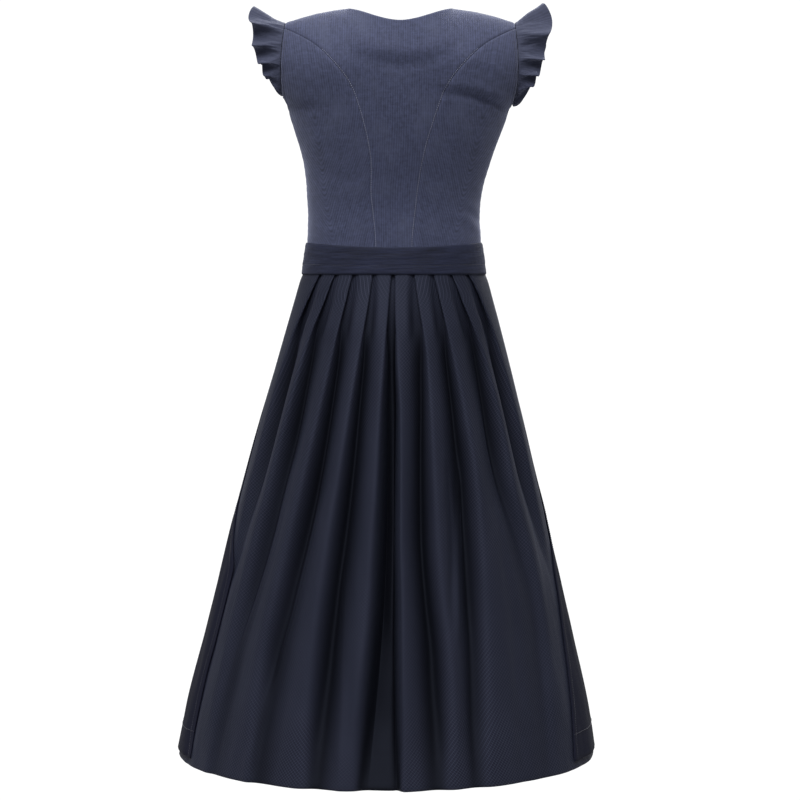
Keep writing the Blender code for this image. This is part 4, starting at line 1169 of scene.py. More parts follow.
    def build(self) -> None:
        """Makes the seven panels and their topstitching."""
        top, first, last = Edge.LAST_ROW, Edge.FIRST_COLUMN, Edge.LAST_COLUMN
        sewn_sides = {first: self.princess_stitch, last: self.princess_stitch}
        centre = self.sewn(self.back_centre(), (first, last), (top,), sewn_sides)
        self.add("back_centre", centre, ("cloth_waistband",), (0.385, 0.39), 0.056)
        for side in Side:
            word = side.name.lower()
            side_back, side_front = (self.sewn(self.side_panel(face, side), (first, last), (top,),
                                               {top: self.armhole_stitch}) for face in Face)
            self.add(f"back_side_{word}", side_back, (f"cloth_front_side_{word}",), (0.16, 0.35), 0.0345)
            front = self.sewn(self.front_centre(side), (last,), (top, first), {first: self.closure_stitch})
            self.add(f"front_centre_{word}", front, ("cloth_back_centre",), (0.21, 0.4), 0.033)
            self.add(f"front_side_{word}", side_front, (f"cloth_back_side_{word}",), (0.15, 0.33), 0.033)
        self.topstitch()

    def topstitch(self) -> None:
        """Pale stitches on the back's princess seams, darker ones round the armholes and down the closure."""
        princess = []
        for edge in (Edge.FIRST_COLUMN, Edge.LAST_COLUMN):
            line, normals = self.nets["back_centre"].line_beside(edge, self.princess_stitch)
            below = line[:, 2] < self.princess_stitch_top_z
            princess.append((line[below], normals[below]))
        arms, closure = [], []
        for side in Side:
            word = side.name.lower()
            for half in ("back", "front"):
                arms.append(self.nets[f"{half}_side_{word}"].line_beside(Edge.LAST_ROW, self.armhole_stitch))
            front = self.nets[f"front_centre_{word}"]
            closure.append(front.line_beside(Edge.FIRST_COLUMN, self.closure_stitch))
        Thread().sew("stitches_princess", princess, self.cloths.thread)
        Thread().sew("stitches_armholes", arms, self.cloths.dark_thread)
        Thread().sew("stitches_closure", closure, self.cloths.dark_thread)


# ---- Ruffle cap sleeves ----


@dataclass
class Ruffles:
    """Strips folded double and gathered into the armholes, their folds leaning up over each other."""

    form: WornForm
    bodice: Bodice
    cloths: Cloths
    low_z: Mapping[Side, float] = field(default_factory=lambda: {Side.LEFT: -0.118, Side.RIGHT: -0.134})
    wall: float = 0.0013
    steps: int = 300
    across: int = 22
    depth: float = 0.0085
    roll: float = 0.0052
    lean: float = 0.004
    gather: float = 0.0016
    full_width: float = 0.03
    opening: float = 0.85
    edge_waver: float = 0.06
    waver_folds: float = 1.7
    unequal: float = 0.25
    unequal_folds: float = 2.3
    length: float = 0.52
    ends: tuple[float, float] = (-0.06, 1.06)
    tucks: Unevenness = Unevenness(1.0, 21.0, 0.7, 6.4)
    shape: Table = (  # place from the lower ends to the shoulder, width, lift in degrees
        (0.0, 0.004, -50.0), (0.12, 0.014, -38.0), (0.3, 0.026, -14.0), (0.5, 0.036, 0.0),
        (0.72, 0.045, 10.0), (0.9, 0.049, 24.0), (1.0, 0.05, 34.0),
    )
    ridges: Mapping[Side, Table] = field(default_factory=lambda: {  # share along the root, at the free edge
        Side.LEFT: ((0.04, 0.075), (0.13, 0.15), (0.255, 0.245), (0.375, 0.36), (0.49, 0.48), (0.6, 0.6),
                    (0.715, 0.715), (0.83, 0.825), (0.93, 0.91)),
        Side.RIGHT: ((0.035, 0.08), (0.11, 0.145), (0.205, 0.215), (0.325, 0.295), (0.475, 0.465),
                     (0.59, 0.59), (0.7, 0.7), (0.81, 0.805), (0.92, 0.905)),
    })

    def root(self, side: Side, share: Array) -> tuple[Array, Array]:
        """Places on the armhole from low on the back over the shoulder to low on the front.

        Args:
            side: which armhole.
            share: 0 at the back's end, 0.5 on the shoulder, 1 at the front's end.

        Returns:
            The points, and how far up from the ends each is.
        """
        up = 1 - np.abs(2 * share - 1)
        z = self.low_z[side] + (self.form.shoulder_tip_z - self.low_z[side]) * up
        angle = self.form.torso_angle(self.bodice.armhole_x(z), z)
        back = self.form.torso_point(Face.BACK, angle, z)
        front = self.form.torso_point(Face.FRONT, angle, z)
        point = np.where(share[:, None] < 0.5, back, front)
        sway = self.form.sway(z)
        point[:, 0] = sway + side.value * (point[:, 0] - sway)
        point[:, 1] = np.where(np.abs(share - 0.5) < 0.5 / self.steps, 0.0, point[:, 1])
        return point, up

    def net(self, side: Side) -> Net:
        """Middle of a ruffle's wall."""
        share = np.linspace(0, 1, self.steps + 1)
        root, up = self.root(side, share)
        along = unit(np.gradient(root, axis=0))
        lift = np.radians(column(self.shape, 2)(up))
        outwards = np.stack([side.value * np.cos(lift), 0 * lift, np.sin(lift)], axis=-1)
        outwards = unit(outwards - along * np.sum(outwards * along, axis=1, keepdims=True))
        beside = unit(np.cross(along, outwards))
        if side is Side.LEFT:
            beside = -beside
        width = column(self.shape, 1)(up)
        t = np.linspace(0, 1, self.across + 1)[None, :]
        count = np.arange(len(self.ridges[side]) + 2)
        first, last = self.ends
        phases = [np.interp(share, (first, *(ridge[k] for ridge in self.ridges[side]), last), count)
                  for k in (0, 1)]
        slanted = smooth_step(t)
        turn = 2 * math.pi * (phases[0][:, None] * (1 - slanted) + phases[1][:, None] * slanted)
        width = width[:, None] * (1 + self.edge_waver * np.cos(turn[:, -1:] / self.waver_folds + 0.6))
        full = t ** self.opening * np.minimum(1.0, width / self.full_width)
        facing = np.where(share < 0.5, 1, -1)[:, None]
        swell = 1 + self.unequal * np.sin(turn / self.unequal_folds + 0.7)
        wave = self.depth * swell * np.cos(turn) * full
        slide = (self.roll * np.sin(turn) + self.lean * np.cos(turn) * facing) * full * swell
        tucks = self.tucks.relief(share[:, None], t, side.value)
        taper = t ** 0.7 * (1 - t) ** 1.3 * 3.4
        start = root + np.array([side.value * SEAM_GAP, 0, 0]) + outwards * self.wall / 2
        points = (start[:, None] + outwards[:, None] * (width * t)[..., None]
                  + beside[:, None] * (wave + self.gather * tucks * taper)[..., None]
                  + along[:, None] * slide[..., None])
        flat = np.stack([np.broadcast_to(share[:, None] * self.length, points.shape[:2]), width * t], axis=-1)
        return Net(points, flat)

    def build(self) -> None:
        """Makes both ruffles."""
        for side in Side:
            word = side.name.lower()
            net = self.net(side)
            piece = shell(f"cloth_ruffle_{word}", net, self.wall, [self.cloths.ruffle], centred=True)
            dressed(piece, [f"ruffle_{word}"])


# ---- Apron band ----


@dataclass
class Waistband:
    """The apron's band, once round the waist, its end lapped over in front."""

    form: WornForm
    cloths: Cloths
    top_z: float = -0.342
    hem_z: float = -0.3885
    seam_z: float = -0.3723
    dip: float = 0.008
    ease: float = 0.0006
    wall: float = 0.0018
    skirt_wall: float = 0.0012
    lap_centre: float = 150.0
    lap: float = 14.0
    lap_rise: float = 8.0
    columns: int = 300
    rows: int = 26
    stitch_share: float = 0.3
    length: float = 0.85
    crease: Swell = Swell(0.0005, 0.05, 0.62)
    crease_drift: float = 0.05
    crease_waves: float = 30.0
    stitch_groove: Swell = Swell(-0.0005, 0.03, 0.3)
    rolled_edge: Swell = Swell(0.0007, 0.035)
    calm_share: float = 12.0
    broad_wrinkles: Unevenness = Unevenness(0.0005, 16.0, 120.0, 5.2)
    fine_wrinkles: Unevenness = Unevenness(0.0003, 40.0, 260.0, 1.2)

    def size(self, skirt: Curve, bodice: Curve, z: Array) -> Array:
        """Inner face of the band: close round the bodice at its top, clear of the pleats lower down."""
        low = skirt(np.minimum(z, self.seam_z)) + self.skirt_wall / 2 + SEAM_GAP
        high = skirt(self.seam_z) + self.skirt_wall / 2 + SEAM_GAP
        bodice_size = bodice(self.top_z) + self.ease
        share = (z - self.seam_z) / (self.top_z - self.seam_z)
        return np.where(z <= self.seam_z, low, high + (bodice_size - high) * share)

    def net(self) -> Net:
        """Outer face of the band."""
        form = self.form
        first = self.lap_centre - self.lap / 2
        total = 360 + self.lap
        angle = first + total * np.arange(self.columns + 1) / self.columns
        share = np.linspace(0, 1, self.rows + 1)[:, None]
        top = self.top_z - self.dip * np.maximum(0.0, np.cos(np.radians(angle))) ** 2
        z = self.hem_z + (top - self.hem_z) * share
        lapped = smooth_step((first + total - angle - self.lap) / self.lap_rise)
        rise = (1 - lapped) * (self.wall + SEAM_GAP)
        length = self.length * angle / 360
        drift = self.crease_drift * np.sin(length * self.crease_waves)
        relief = self.broad_wrinkles.relief(length, z) + self.fine_wrinkles.relief(length, z)
        relief = relief + self.crease.relief(share - drift) + self.stitch_groove.relief(share)
        inner = smooth_step(share * self.calm_share) * smooth_step((1 - share) * self.calm_share)
        rolled = self.rolled_edge.relief(share) + self.rolled_edge.relief(1 - share)
        sizes = (self.size(form.skirt_half_width, form.half_width, z),
                 self.size(form.skirt_back, form.depth[Face.BACK], z),
                 self.size(form.skirt_front, form.depth[Face.FRONT], z))
        points = form.ring_point(*sizes, z, angle[None, :], rise + self.wall + relief * inner - rolled)
        flat = np.stack(np.broadcast_arrays(length, z), axis=-1)
        return Net(points, flat)

    def build(self) -> None:
        """Makes the band and the row of stitches in its lower third."""
        net = self.net()
        piece = shell("cloth_waistband", net, self.wall - 0.0002, [self.cloths.band, self.cloths.lining])
        dressed(piece, ["waistband"])
        row = round(self.rows * self.stitch_share)
        line = (net.points[row], net.normals()[row])
        Thread().sew("stitches_band", [line], self.cloths.dark_thread)


# ---- Skirt ----


@dataclass
class Skirt:
    """Skirt of jacquard: knife pleats that face an inverted pleat at the centre back, and a plain front."""

    form: WornForm
    cloths: Cloths
    top_z: float = -0.3723
    hem_z: float = -1.109
    wall: float = 0.0009
    hem_wall: float = 0.0017
    hem_depth: float = 0.05
    hem_run: float = 0.003
    rows: int = 124
    subdivisions: int = 2
    pleat_turn: float = 0.002
    open_within: float = 0.003
    centre_shares: tuple[float, float] = (1.0, 0.4)
    turn_share: float = 0.2
    # painted shade in the back's folds: full at a share of the valley's depth, never less than the least
    # depth, fading in below a height over a run
    least_depth: float = 0.005
    fold_shade_share: float = 0.95
    fold_shade_from: float = -0.385
    fold_shade_run: float = 0.14
    fold_overrun: float = 0.05
    fold_end: float = 0.08
    fold_start: float = 0.06
    side_steps: int = 6
    fall: float = 1.9
    fall_steps: tuple[float, ...] = (0.15, 0.3, 0.45, 0.6, 0.8)
    front_wave_angle: float = 24.0
    front_plain_angle: float = 18.0
    front_columns: int = 150
    row_crowding: float = 0.38
    side_gap_z: float = -0.7
    underlay_gap: float = 0.15
    loose_from: float = -0.5
    loose_run: float = 0.25
    broad_waves: Unevenness = Unevenness(0.0011, 1 / 26, 2.1, 4.4)
    fine_waves: Unevenness = Unevenness(0.0005, 1 / 11, 5.0, 0.7)
    hem_swell: Swell = Swell(0.0005, 0.0018)
    hem_groove: Swell = Swell(-0.0004, 0.003, -0.004)
    hem_drift: float = 0.0012
    hem_waves: float = 0.31
    shape: Table = (  # height, overlap, ridge, valley
        (-0.3723, 0.02, 0.0, -0.004), (-0.3885, 0.018, 0.0, -0.0042), (-0.4274, 0.008, 0.0008, -0.007),
        (-0.47, 0.001, 0.0014, -0.011), (-0.512, -0.005, 0.002, -0.017), (-0.597, -0.01, 0.003, -0.024),
        (-0.682, -0.0145, 0.0034, -0.029), (-0.766, -0.0185, 0.0036, -0.031),
        (-0.849, -0.0205, 0.0034, -0.03), (-0.932, -0.023, 0.003, -0.027),
        (-1.015, -0.025, 0.0022, -0.0215), (-1.06, -0.026, 0.0014, -0.015),
        (-1.108, -0.027, 0.0006, -0.007),
    )
    right_pleats: tuple[Table, ...] = (  # folds from the centre out: height, angle, strength
        ((-0.372, 0.4, 1.0), (-0.426, 0.8, 1.0), (-0.512, 2.0, 1.0), (-0.597, 3.5, 1.0),
         (-0.681, 3.7, 1.0), (-0.765, 3.7, 1.0), (-0.848, 4.1, 1.1), (-0.93, 4.3, 1.2),
         (-1.108, 4.9, 1.2)),
        ((-0.372, 11.8, 1.0), (-0.426, 13.8, 1.0), (-0.47, 15.6, 1.0), (-0.512, 16.8, 1.0),
         (-0.597, 17.0, 1.0), (-0.682, 16.9, 1.0), (-0.765, 16.9, 1.0), (-0.849, 17.7, 1.0),
         (-0.932, 18.9, 1.0), (-1.014, 18.9, 1.0), (-1.108, 18.4, 0.9)),
        ((-0.372, 24.0, 1.0), (-0.426, 27.1, 1.0), (-0.47, 29.3, 1.0), (-0.513, 31.1, 1.0),
         (-0.598, 33.5, 1.0), (-0.684, 34.9, 1.0), (-0.769, 34.7, 0.9), (-0.853, 33.5, 0.9),
         (-0.936, 32.0, 0.8), (-1.018, 30.4, 0.8), (-1.108, 29.3, 0.7)),
        ((-0.372, 37.0, 1.0), (-0.426, 42.4, 1.0), (-0.47, 47.6, 1.0), (-0.514, 51.4, 1.0),
         (-0.601, 54.0, 1.0), (-0.687, 55.0, 0.8), (-0.776, 58.5, 0.4), (-0.865, 60.8, 0.3),
         (-0.95, 58.6, 0.3), (-1.033, 55.2, 0.3), (-1.108, 53.0, 0.3)),
        ((-0.372, 51.0, 1.0), (-0.427, 60.5, 1.0), (-0.486, 67.0, 1.0), (-0.575, 71.0, 0.9),
         (-0.68, 74.0, 0.6), (-0.78, 76.0, 0.2), (-0.86, 76.0, 0.0), (-1.108, 76.0, 0.0)),
    )
    left_pleats: tuple[Table, ...] = (
        ((-0.372, 0.6, 1.0), (-0.426, 2.6, 1.0), (-0.512, 4.2, 1.0), (-0.597, 4.9, 1.0),
         (-0.681, 5.1, 1.0), (-0.764, 5.6, 1.0), (-0.848, 6.1, 1.1), (-0.93, 7.2, 1.2),
         (-1.012, 8.3, 1.2), (-1.108, 9.6, 1.2)),
        ((-0.372, 12.5, 1.0), (-0.426, 14.0, 1.0), (-0.47, 15.6, 1.0), (-0.512, 17.0, 1.0),
         (-0.597, 18.8, 1.0), (-0.682, 20.1, 1.0), (-0.766, 21.7, 1.0), (-0.85, 22.7, 1.0),
         (-0.933, 23.2, 1.0), (-1.108, 23.3, 0.9)),
        ((-0.372, 25.0, 1.0), (-0.426, 27.9, 1.0), (-0.47, 29.9, 1.0), (-0.513, 31.4, 1.0),
         (-0.598, 33.4, 1.0), (-0.684, 35.7, 1.0), (-0.769, 38.1, 0.9), (-0.855, 40.4, 0.8),
         (-0.94, 42.0, 0.8), (-1.024, 41.8, 0.7), (-1.108, 41.0, 0.7)),
        ((-0.372, 38.0, 1.0), (-0.426, 42.8, 1.0), (-0.47, 47.4, 1.0), (-0.514, 50.2, 1.0),
         (-0.601, 52.3, 1.0), (-0.688, 54.3, 0.8), (-0.775, 56.4, 0.7), (-0.863, 58.3, 0.6),
         (-0.95, 59.2, 0.5), (-1.036, 59.1, 0.5), (-1.108, 58.7, 0.4)),
        ((-0.372, 50.5, 1.0), (-0.427, 59.0, 1.0), (-0.485, 66.0, 1.0), (-0.574, 69.5, 0.9),
         (-0.68, 71.0, 0.6), (-0.78, 72.0, 0.2), (-0.86, 73.0, 0.0), (-1.108, 74.0, 0.0)),
    )
    underlay: Table = (  # height, angle, depth of the rib, depth beside it
        (-0.372, 0.0, 0.004, 0.004), (-0.426, -0.8, 0.009, 0.01), (-0.512, -0.4, 0.02, 0.024),
        (-0.597, 1.0, 0.028, 0.034), (-0.681, 1.8, 0.033, 0.042), (-0.764, 2.2, 0.034, 0.045),
        (-0.85, 2.1, 0.031, 0.044), (-0.93, 2.0, 0.034, 0.04), (-1.012, 1.8, 0.027, 0.033),
        (-1.06, 1.6, 0.018, 0.023), (-1.108, 1.5, 0.008, 0.011),
    )
    front_wave_depth: Table = (
        (-0.3723, 0.0002), (-0.45, 0.0018), (-0.65, 0.004), (-0.9, 0.005), (-1.108, 0.0045),
    )
    soft_folds: tuple[tuple[Table, float, float], ...] = (  # (height, angle) places, out, width in degrees
        (((-0.7, -27.6), (-0.767, -29.2), (-0.852, -31.8), (-0.937, -35.2), (-1.022, -38.1), (-1.1, -39.5)),
         0.0036, 1.6),
        (((-0.78, -15.8), (-0.848, -15.2), (-0.931, -14.1), (-1.013, -12.6), (-1.1, -12.0)), 0.0034, 1.6),
        (((-0.64, -43.2), (-0.686, -44.4), (-0.772, -46.3), (-0.859, -50.2), (-0.947, -54.0),
          (-1.1, -56.0)),
         0.0034, 2.0),
        (((-0.64, 31.0), (-0.683, 30.3), (-0.767, 26.9), (-0.85, 23.9), (-0.9, 22.0)), 0.004, 1.7),
        (((-0.64, 23.4), (-0.682, 23.4), (-0.766, 23.0), (-0.849, 20.8)), -0.004, 1.7),
        (((-0.56, 43.0), (-0.6, 44.0), (-0.68, 46.0), (-0.76, 47.0)), 0.0024, 2.0),
        (((-0.76, 43.0), (-0.85, 44.0), (-0.95, 42.0), (-1.1, 39.0)), -0.0022, 2.6),
        (((-0.76, -66.0), (-0.86, -68.0), (-0.98, -69.0), (-1.1, -69.0)), -0.0026, 2.4),
    )

    def __post_init__(self) -> None:
        """Turns the tables into curves."""
        self.overlap, self.ridge, self.valley = (column(self.shape, n) for n in (1, 2, 3))
        self.rib_angle, self.rib_depth, self.side_depth = (column(self.underlay, n) for n in (1, 2, 3))
        self.wave_depth = column(self.front_wave_depth, 1)

    def heights(self) -> Array:
        """Heights of the rows, closer together at the top and at the hem."""
        share = np.linspace(0, 1, self.rows + 1)
        return self.top_z + (self.hem_z - self.top_z) * crowded(share, self.row_crowding)

    def half(self, folds: Sequence[Table], z: float, centre_share: float) -> list[tuple[float, float]]:
        """Half of the back's section, from the centre to the side seam, as (angle, outwards) places.

        Args:
            folds: the half's folds, from the centre out.
            z: its height.
            centre_share: how far the first fold opens towards the centre, beside the others.

        Returns:
            The places.
        """
        overlap, ridge, valley = float(self.overlap(z)), float(self.ridge(z)), float(self.valley(z))
        closed = float(smooth_step((overlap + self.open_within) / (2 * self.open_within)))
        pressed = float(smooth_step(overlap / self.pleat_turn))
        edges = []
        for number, fold in enumerate(folds):
            angle, strength = (float(column(fold, n)(z)) for n in (1, 2))
            height, depth = ridge * strength, valley * strength
            depth += (min(depth, -2 * self.pleat_turn) - depth) * pressed
            lap = overlap * centre_share if number == 0 and overlap < 0 else overlap
            edges.append((angle, height, angle + self.form.degrees_for(z, angle, lap), depth))
        places = []
        for number, (angle, height, tuck, depth) in enumerate(edges):
            if number == 0:
                depth = -float(self.side_depth(z))
            step = (height - depth) * self.turn_share * (1 - closed) + self.pleat_turn * closed
            shift = (angle - tuck) / 3 * (1 - closed)
            places += [(tuck, depth), (tuck + shift, depth + step)]
            places += [(angle - shift, height - step), (angle, height)]
            if number + 1 < len(edges):
                next_tuck, next_depth = edges[number + 1][2:]
                lap = self.form.degrees_for(z, angle, overlap)
                for share in self.fall_steps:
                    loose = angle + (next_tuck - angle) * share
                    flat = max(angle + lap, loose) if share < 0.5 else min(next_tuck - lap, loose)
                    level = height if share < 0.5 else next_depth
                    fallen = (share ** self.fall + float(smooth_step(share))) / 2
                    fallen = height + (next_depth - height) * fallen
                    places.append((loose + (flat - loose) * closed, fallen + (level - fallen) * closed))
            else:
                side = 90 - self.form.degrees_for(z, 90, SEAM_GAP / 2)
                for i in range(1, self.side_steps + 1):
                    share = i / self.side_steps
                    places.append((angle + (side - angle) * share, height * (1 - share)))
        return places

    def back_section(self, z: float) -> Array:
        """Section of the back at one height as (angle, outwards) places, from the left seam to the right."""
        left_half = self.half(self.left_pleats, z, self.centre_shares[0])
        left = [(-angle, out) for angle, out in reversed(left_half)]
        right = self.half(self.right_pleats, z, self.centre_shares[1])
        side = -float(self.side_depth(z))
        underlay = [
            (-min(left_half[0][0], left_half[3][0]) + self.underlay_gap, side),
            (float(self.rib_angle(z)), -float(self.rib_depth(z))),
            (min(right[0][0], right[3][0]) - self.underlay_gap, side),
        ]
        return np.array(left + underlay + right)

    @staticmethod
    def rounded(places: Array) -> Array:
        """Section with its corners rounded once: each point and each middle between two, its ends kept."""
        middles = (places[:-1] + places[1:]) / 2
        points = places.copy()
        points[1:-1] = (places[:-2] + 6 * places[1:-1] + places[2:]) / 8
        woven = np.empty((len(points) + len(middles), places.shape[1]))
        woven[0::2], woven[1::2] = points, middles
        return woven

    def soft(self, z: Array, angle: Array) -> Array:
        """Relief of the loose folds, the hem's turn-up and the cloth's unevenness over the lower skirt."""
        relief = np.zeros(np.broadcast(z, angle).shape)
        for places, out, width in self.soft_folds:
            middle = Curve(places)
            inside = smooth_step((z - middle.at[0] + self.fold_overrun) / self.fold_end)
            inside = inside * smooth_step((middle.at[-1] - z) / self.fold_start)
            relief += out * bump((angle - middle(z)) / width) * inside
        low = smooth_step((self.loose_from - z) / self.loose_run)
        relief += low * (self.broad_waves.relief(angle, z) + self.fine_waves.relief(angle, z))
        above = z - (self.hem_z + self.hem_depth)
        relief += self.hem_swell.relief(above + self.hem_drift * np.sin(angle * self.hem_waves))
        return relief + self.hem_groove.relief(above)

    def walls(self, z: Array) -> Array:
        """Thickness of the cloth by height, doubled where the hem is turned up."""
        share = smooth_step((self.hem_z + self.hem_depth - z) / self.hem_run)
        return self.wall + (self.hem_wall - self.wall) * share

    def laid(self, name: str, z: Array, places: Array) -> bpy.types.Object:
        """Makes a piece of the skirt from the sections at its heights.

        Args:
            name: the piece's name.
            z: heights of its rows.
            places: (angle, outwards) places, rows by columns by 2.

        Returns:
            The piece.
        """
        height = np.broadcast_to(z[:, None], places.shape[:2])
        out = places[..., 1] + self.soft(height, places[..., 0])
        points = self.form.skirt_point(height, places[..., 0], out)
        net = Net(points, flat_of(points))
        # painted shade: how deep each point lies in the back's folds darkens the skirt's colour there, fading
        # out towards the band
        full = np.maximum(self.least_depth, -self.fold_shade_share * self.valley(height))
        depth = smooth_step(-places[..., 1] / full) * (places[..., 0] < 90)
        depth = depth * smooth_step((self.fold_shade_from - height) / self.fold_shade_run)
        return shell(name, net, self.walls(height), [self.cloths.skirt], centred=True, depth=depth)

    def build(self) -> None:
        """Makes the back and the front."""
        z = self.heights()
        sections = []
        for level in z:
            section = self.back_section(float(level))
            for _ in range(self.subdivisions):
                section = self.rounded(section)
            sections.append(section)
        back = self.laid("cloth_skirt_back", z, np.array(sections))
        dressed(back, ["skirt_back"])
        gap = self.form.degrees_for(self.side_gap_z, 90, SEAM_GAP / 2)
        angle = np.linspace(90 + gap, 270 - gap, self.front_columns + 1)
        out = self.front_wave(z[:, None], np.broadcast_to(angle, (len(z), len(angle))))
        places = np.stack([np.broadcast_to(angle, out.shape), out], axis=-1)
        front = self.laid("cloth_skirt_front", z, places)
        dressed(front, ["skirt_front"])

    def front_wave(self, z: Array, angle: Array) -> Array:
        """How far the soft folds of the front stand out, nothing at the side seams."""
        folded = np.where(angle <= 180, angle, 360 - angle)
        across = np.maximum(0.0, folded - 90 - self.front_plain_angle)
        return -self.wave_depth(z) * (1 - np.cos(2 * math.pi * across / self.front_wave_angle)) / 2


@dataclass
class Apron:
    """Apron hung from its band, its side edges come round to the back."""

    form: WornForm
    skirt: Skirt
    cloths: Cloths
    top_z: float = -0.3888
    hem_z: float = -1.098
    wall: float = 0.0007
    turned_wall: float = 0.0014
    side_hem: float = 0.011
    low_hem: float = 0.04
    side_hem_run: float = 0.003
    low_hem_run: float = 0.004
    skirt_wall: float = 0.0012
    clearance: float = 0.0009
    clearance_run: float = 0.03
    lift_angle: float = 97.0
    lift_run: float = 14.0
    edge_run: float = 7.0
    rows: int = 110
    columns: int = 220
    gather_run: float = 0.16
    gather_height: float = 0.0016
    gathers: int = 46
    gather_drift: float = 60.0
    gather_unequal: float = 2.0
    gather_least: float = 0.35
    gathers_from: float = 100.0
    gathers_run: float = 8.0
    column_crowding: float = 0.2
    seat: float = 0.0002
    loose: float = 0.0012
    loose_run: float = 0.25
    loose_waves: Unevenness = Unevenness(1.0, 1 / 30, 1.7, 7.7)
    side_stitch: float = 0.0095
    hem_stitch: float = 0.0385
    edges: Table = (  # height, angle of the right edge, of the left edge, lift off the skirt there
        (-0.3888, 102.0, 102.0, 0.0), (-0.5, 99.5, 98.5, 0.0002), (-0.6, 96.0, 94.0, 0.0003),
        (-0.7, 91.5, 86.0, 0.0004), (-0.77, 85.0, 75.0, 0.0005), (-0.828, 77.7, 67.5, 0.0005),
        (-0.905, 72.1, 67.0, 0.0005), (-0.981, 67.5, 68.6, 0.0005), (-1.05, 63.5, 68.5, 0.0005),
        (-1.108, 61.0, 66.5, 0.0005),
    )

    def net(self) -> Net:
        """Middle of the apron's wall."""
        z = np.linspace(self.top_z, self.hem_z, self.rows + 1)[:, None]
        right, left = column(self.edges, 1)(z), 360 - column(self.edges, 2)(z)
        share = crowded(np.linspace(0, 1, self.columns + 1)[None, :], self.column_crowding)
        angle = right + (left - right) * share
        z_all = np.broadcast_to(z, angle.shape)
        folded = np.where(angle <= 180, angle, 360 - angle)
        behind = smooth_step((self.lift_angle - folded) / self.lift_run)
        seat = (self.skirt_wall + self.wall) / 2 + SEAM_GAP + self.seat
        run = smooth_step((self.top_z - z) / self.clearance_run)
        out = seat + self.clearance * run + self.skirt.front_wave(z, angle)
        out = out + column(self.edges, 3)(z) * behind
        out = out + self.skirt.soft(z_all, np.where(angle > 180, angle - 360, angle))
        drift = self.gather_unequal * np.sin(share * self.gather_drift)
        gather = 0.5 + 0.5 * np.sin(2 * math.pi * share * self.gathers + drift)
        fade = np.exp((z - self.top_z) / self.gather_run)
        fade = fade * (self.gather_least + (1 - self.gather_least) * run)
        fade = fade * smooth_step((folded - self.gathers_from) / self.gathers_run)
        out = out + self.gather_height * gather * fade
        near = np.minimum(angle - right, left - angle)
        loose = self.loose * (1 + self.loose_waves.relief(angle, z)) * run
        loose = loose * smooth_step((self.top_z - z) / self.loose_run) * smooth_step(near / self.edge_run)
        points = self.form.skirt_point(z_all, angle, out + loose)
        return Net(points, flat_of(points))

    def build(self) -> None:
        """Makes the apron with its hems and their stitches."""
        net = self.net()
        sides = [smooth_step((self.side_hem - net.from_edge(edge)) / self.side_hem_run)
                 for edge in (Edge.FIRST_COLUMN, Edge.LAST_COLUMN)]
        low = smooth_step((self.low_hem - net.from_edge(Edge.LAST_ROW)) / self.low_hem_run)
        turned = np.maximum.reduce([*sides, low])
        wall = self.wall + (self.turned_wall - self.wall) * turned
        piece = shell("cloth_apron", net, wall, [self.cloths.apron], centred=True)
        dressed(piece, ["apron"])
        places = ((Edge.FIRST_COLUMN, self.side_stitch), (Edge.LAST_COLUMN, self.side_stitch),
                  (Edge.LAST_ROW, self.hem_stitch))
        lines = []
        for edge, distance in places:
            line, normal = net.line_beside(edge, distance)
            lines.append((line + normal * self.turned_wall / 2, normal))
        Thread(length=0.0027).sew("stitches_apron", lines, self.cloths.dark_thread)


# ---- Buttons ----


@dataclass
class Buttons:
    """Six round four-hole buttons down the closure, each with its thread."""

    form: WornForm
    bodice: Bodice
    cloths: Cloths
    count: int = 6
    radius: float = 0.007
    top_z: float = -0.154
    spacing: float = 0.034
    sides: int = 32
    thread_level: float = 0.335  # shares of the radius, as is the holes' distance from the middle lines
    hole_place: float = 0.21
    thread_arch: float = 0.0002
    profile: Table = (  # distance from the middle and height, as shares of the radius
        (0.0, -0.02), (0.84, -0.02), (0.95, 0.03), (1.0, 0.14), (1.0, 0.26), (0.96, 0.37), (0.86, 0.425),
        (0.76, 0.41), (0.68, 0.35), (0.58, 0.31), (0.0, 0.33),
    )

    def seat(self, z: float) -> tuple[Array, Array]:
        """Middle of a button's back and the direction it faces."""
        heights = z + self.radius * np.linspace(-1, 1, 9)
        line = self.form.torso_point(Face.FRONT, np.zeros(9), heights)
        upwards = line[-1] - line[0]
        normal = unit(np.array([0.0, upwards[2], -upwards[1]]))
        middle = (line[0] + line[-1]) / 2
        highest = np.max(line @ normal)
        return middle + normal * (highest - middle @ normal + SEAM_GAP), normal

    def build(self) -> None:
        """Makes the buttons and the crossed threads in their holes."""
        lines = []
        for i in range(self.count):
            seat, normal = self.seat(self.top_z - self.spacing * i)
            right = np.array([1.0, 0.0, 0.0])
            up = np.cross(normal, right)
            turns = 2 * math.pi * np.arange(self.sides) / self.sides
            around = right * np.cos(turns)[:, None] + up * np.sin(turns)[:, None]
            points = [seat + normal * self.profile[0][1] * self.radius]
            rings = []
            for distance, height in self.profile[1:-1]:
                rings.append(range(len(points), len(points) + self.sides))
                points += list(seat + around * distance * self.radius + normal * height * self.radius)
            points.append(seat + normal * self.profile[-1][1] * self.radius)
            faces = [(rings[0][k], rings[0][k - 1], 0) for k in range(self.sides)]
            for low, high in zip(rings, rings[1:]):
                faces += [(low[k - 1], low[k], high[k], high[k - 1]) for k in range(self.sides)]
            top = len(points) - 1
            faces += [(rings[-1][k - 1], rings[-1][k], top) for k in range(self.sides)]
            piece = mesh_object(f"horn_button_{i + 1}", np.array(points), faces, [self.cloths.horn])
            dressed(piece, [f"button_{i + 1}"])
            level = seat + normal * (self.radius * self.thread_level)
            for hand in (-1, 1):
                reach = (right * hand - up) * self.radius * self.hole_place
                line = np.array([level + reach, level + normal * self.thread_arch, level - reach])
                lines.append((line, np.array([normal] * 3)))
        thread = Thread(length=0.0034, gap=0.00005, radius=0.0003, sides=6)
        thread.sew("threads_buttons", lines, self.cloths.dark_thread)


# ---- Studio ----


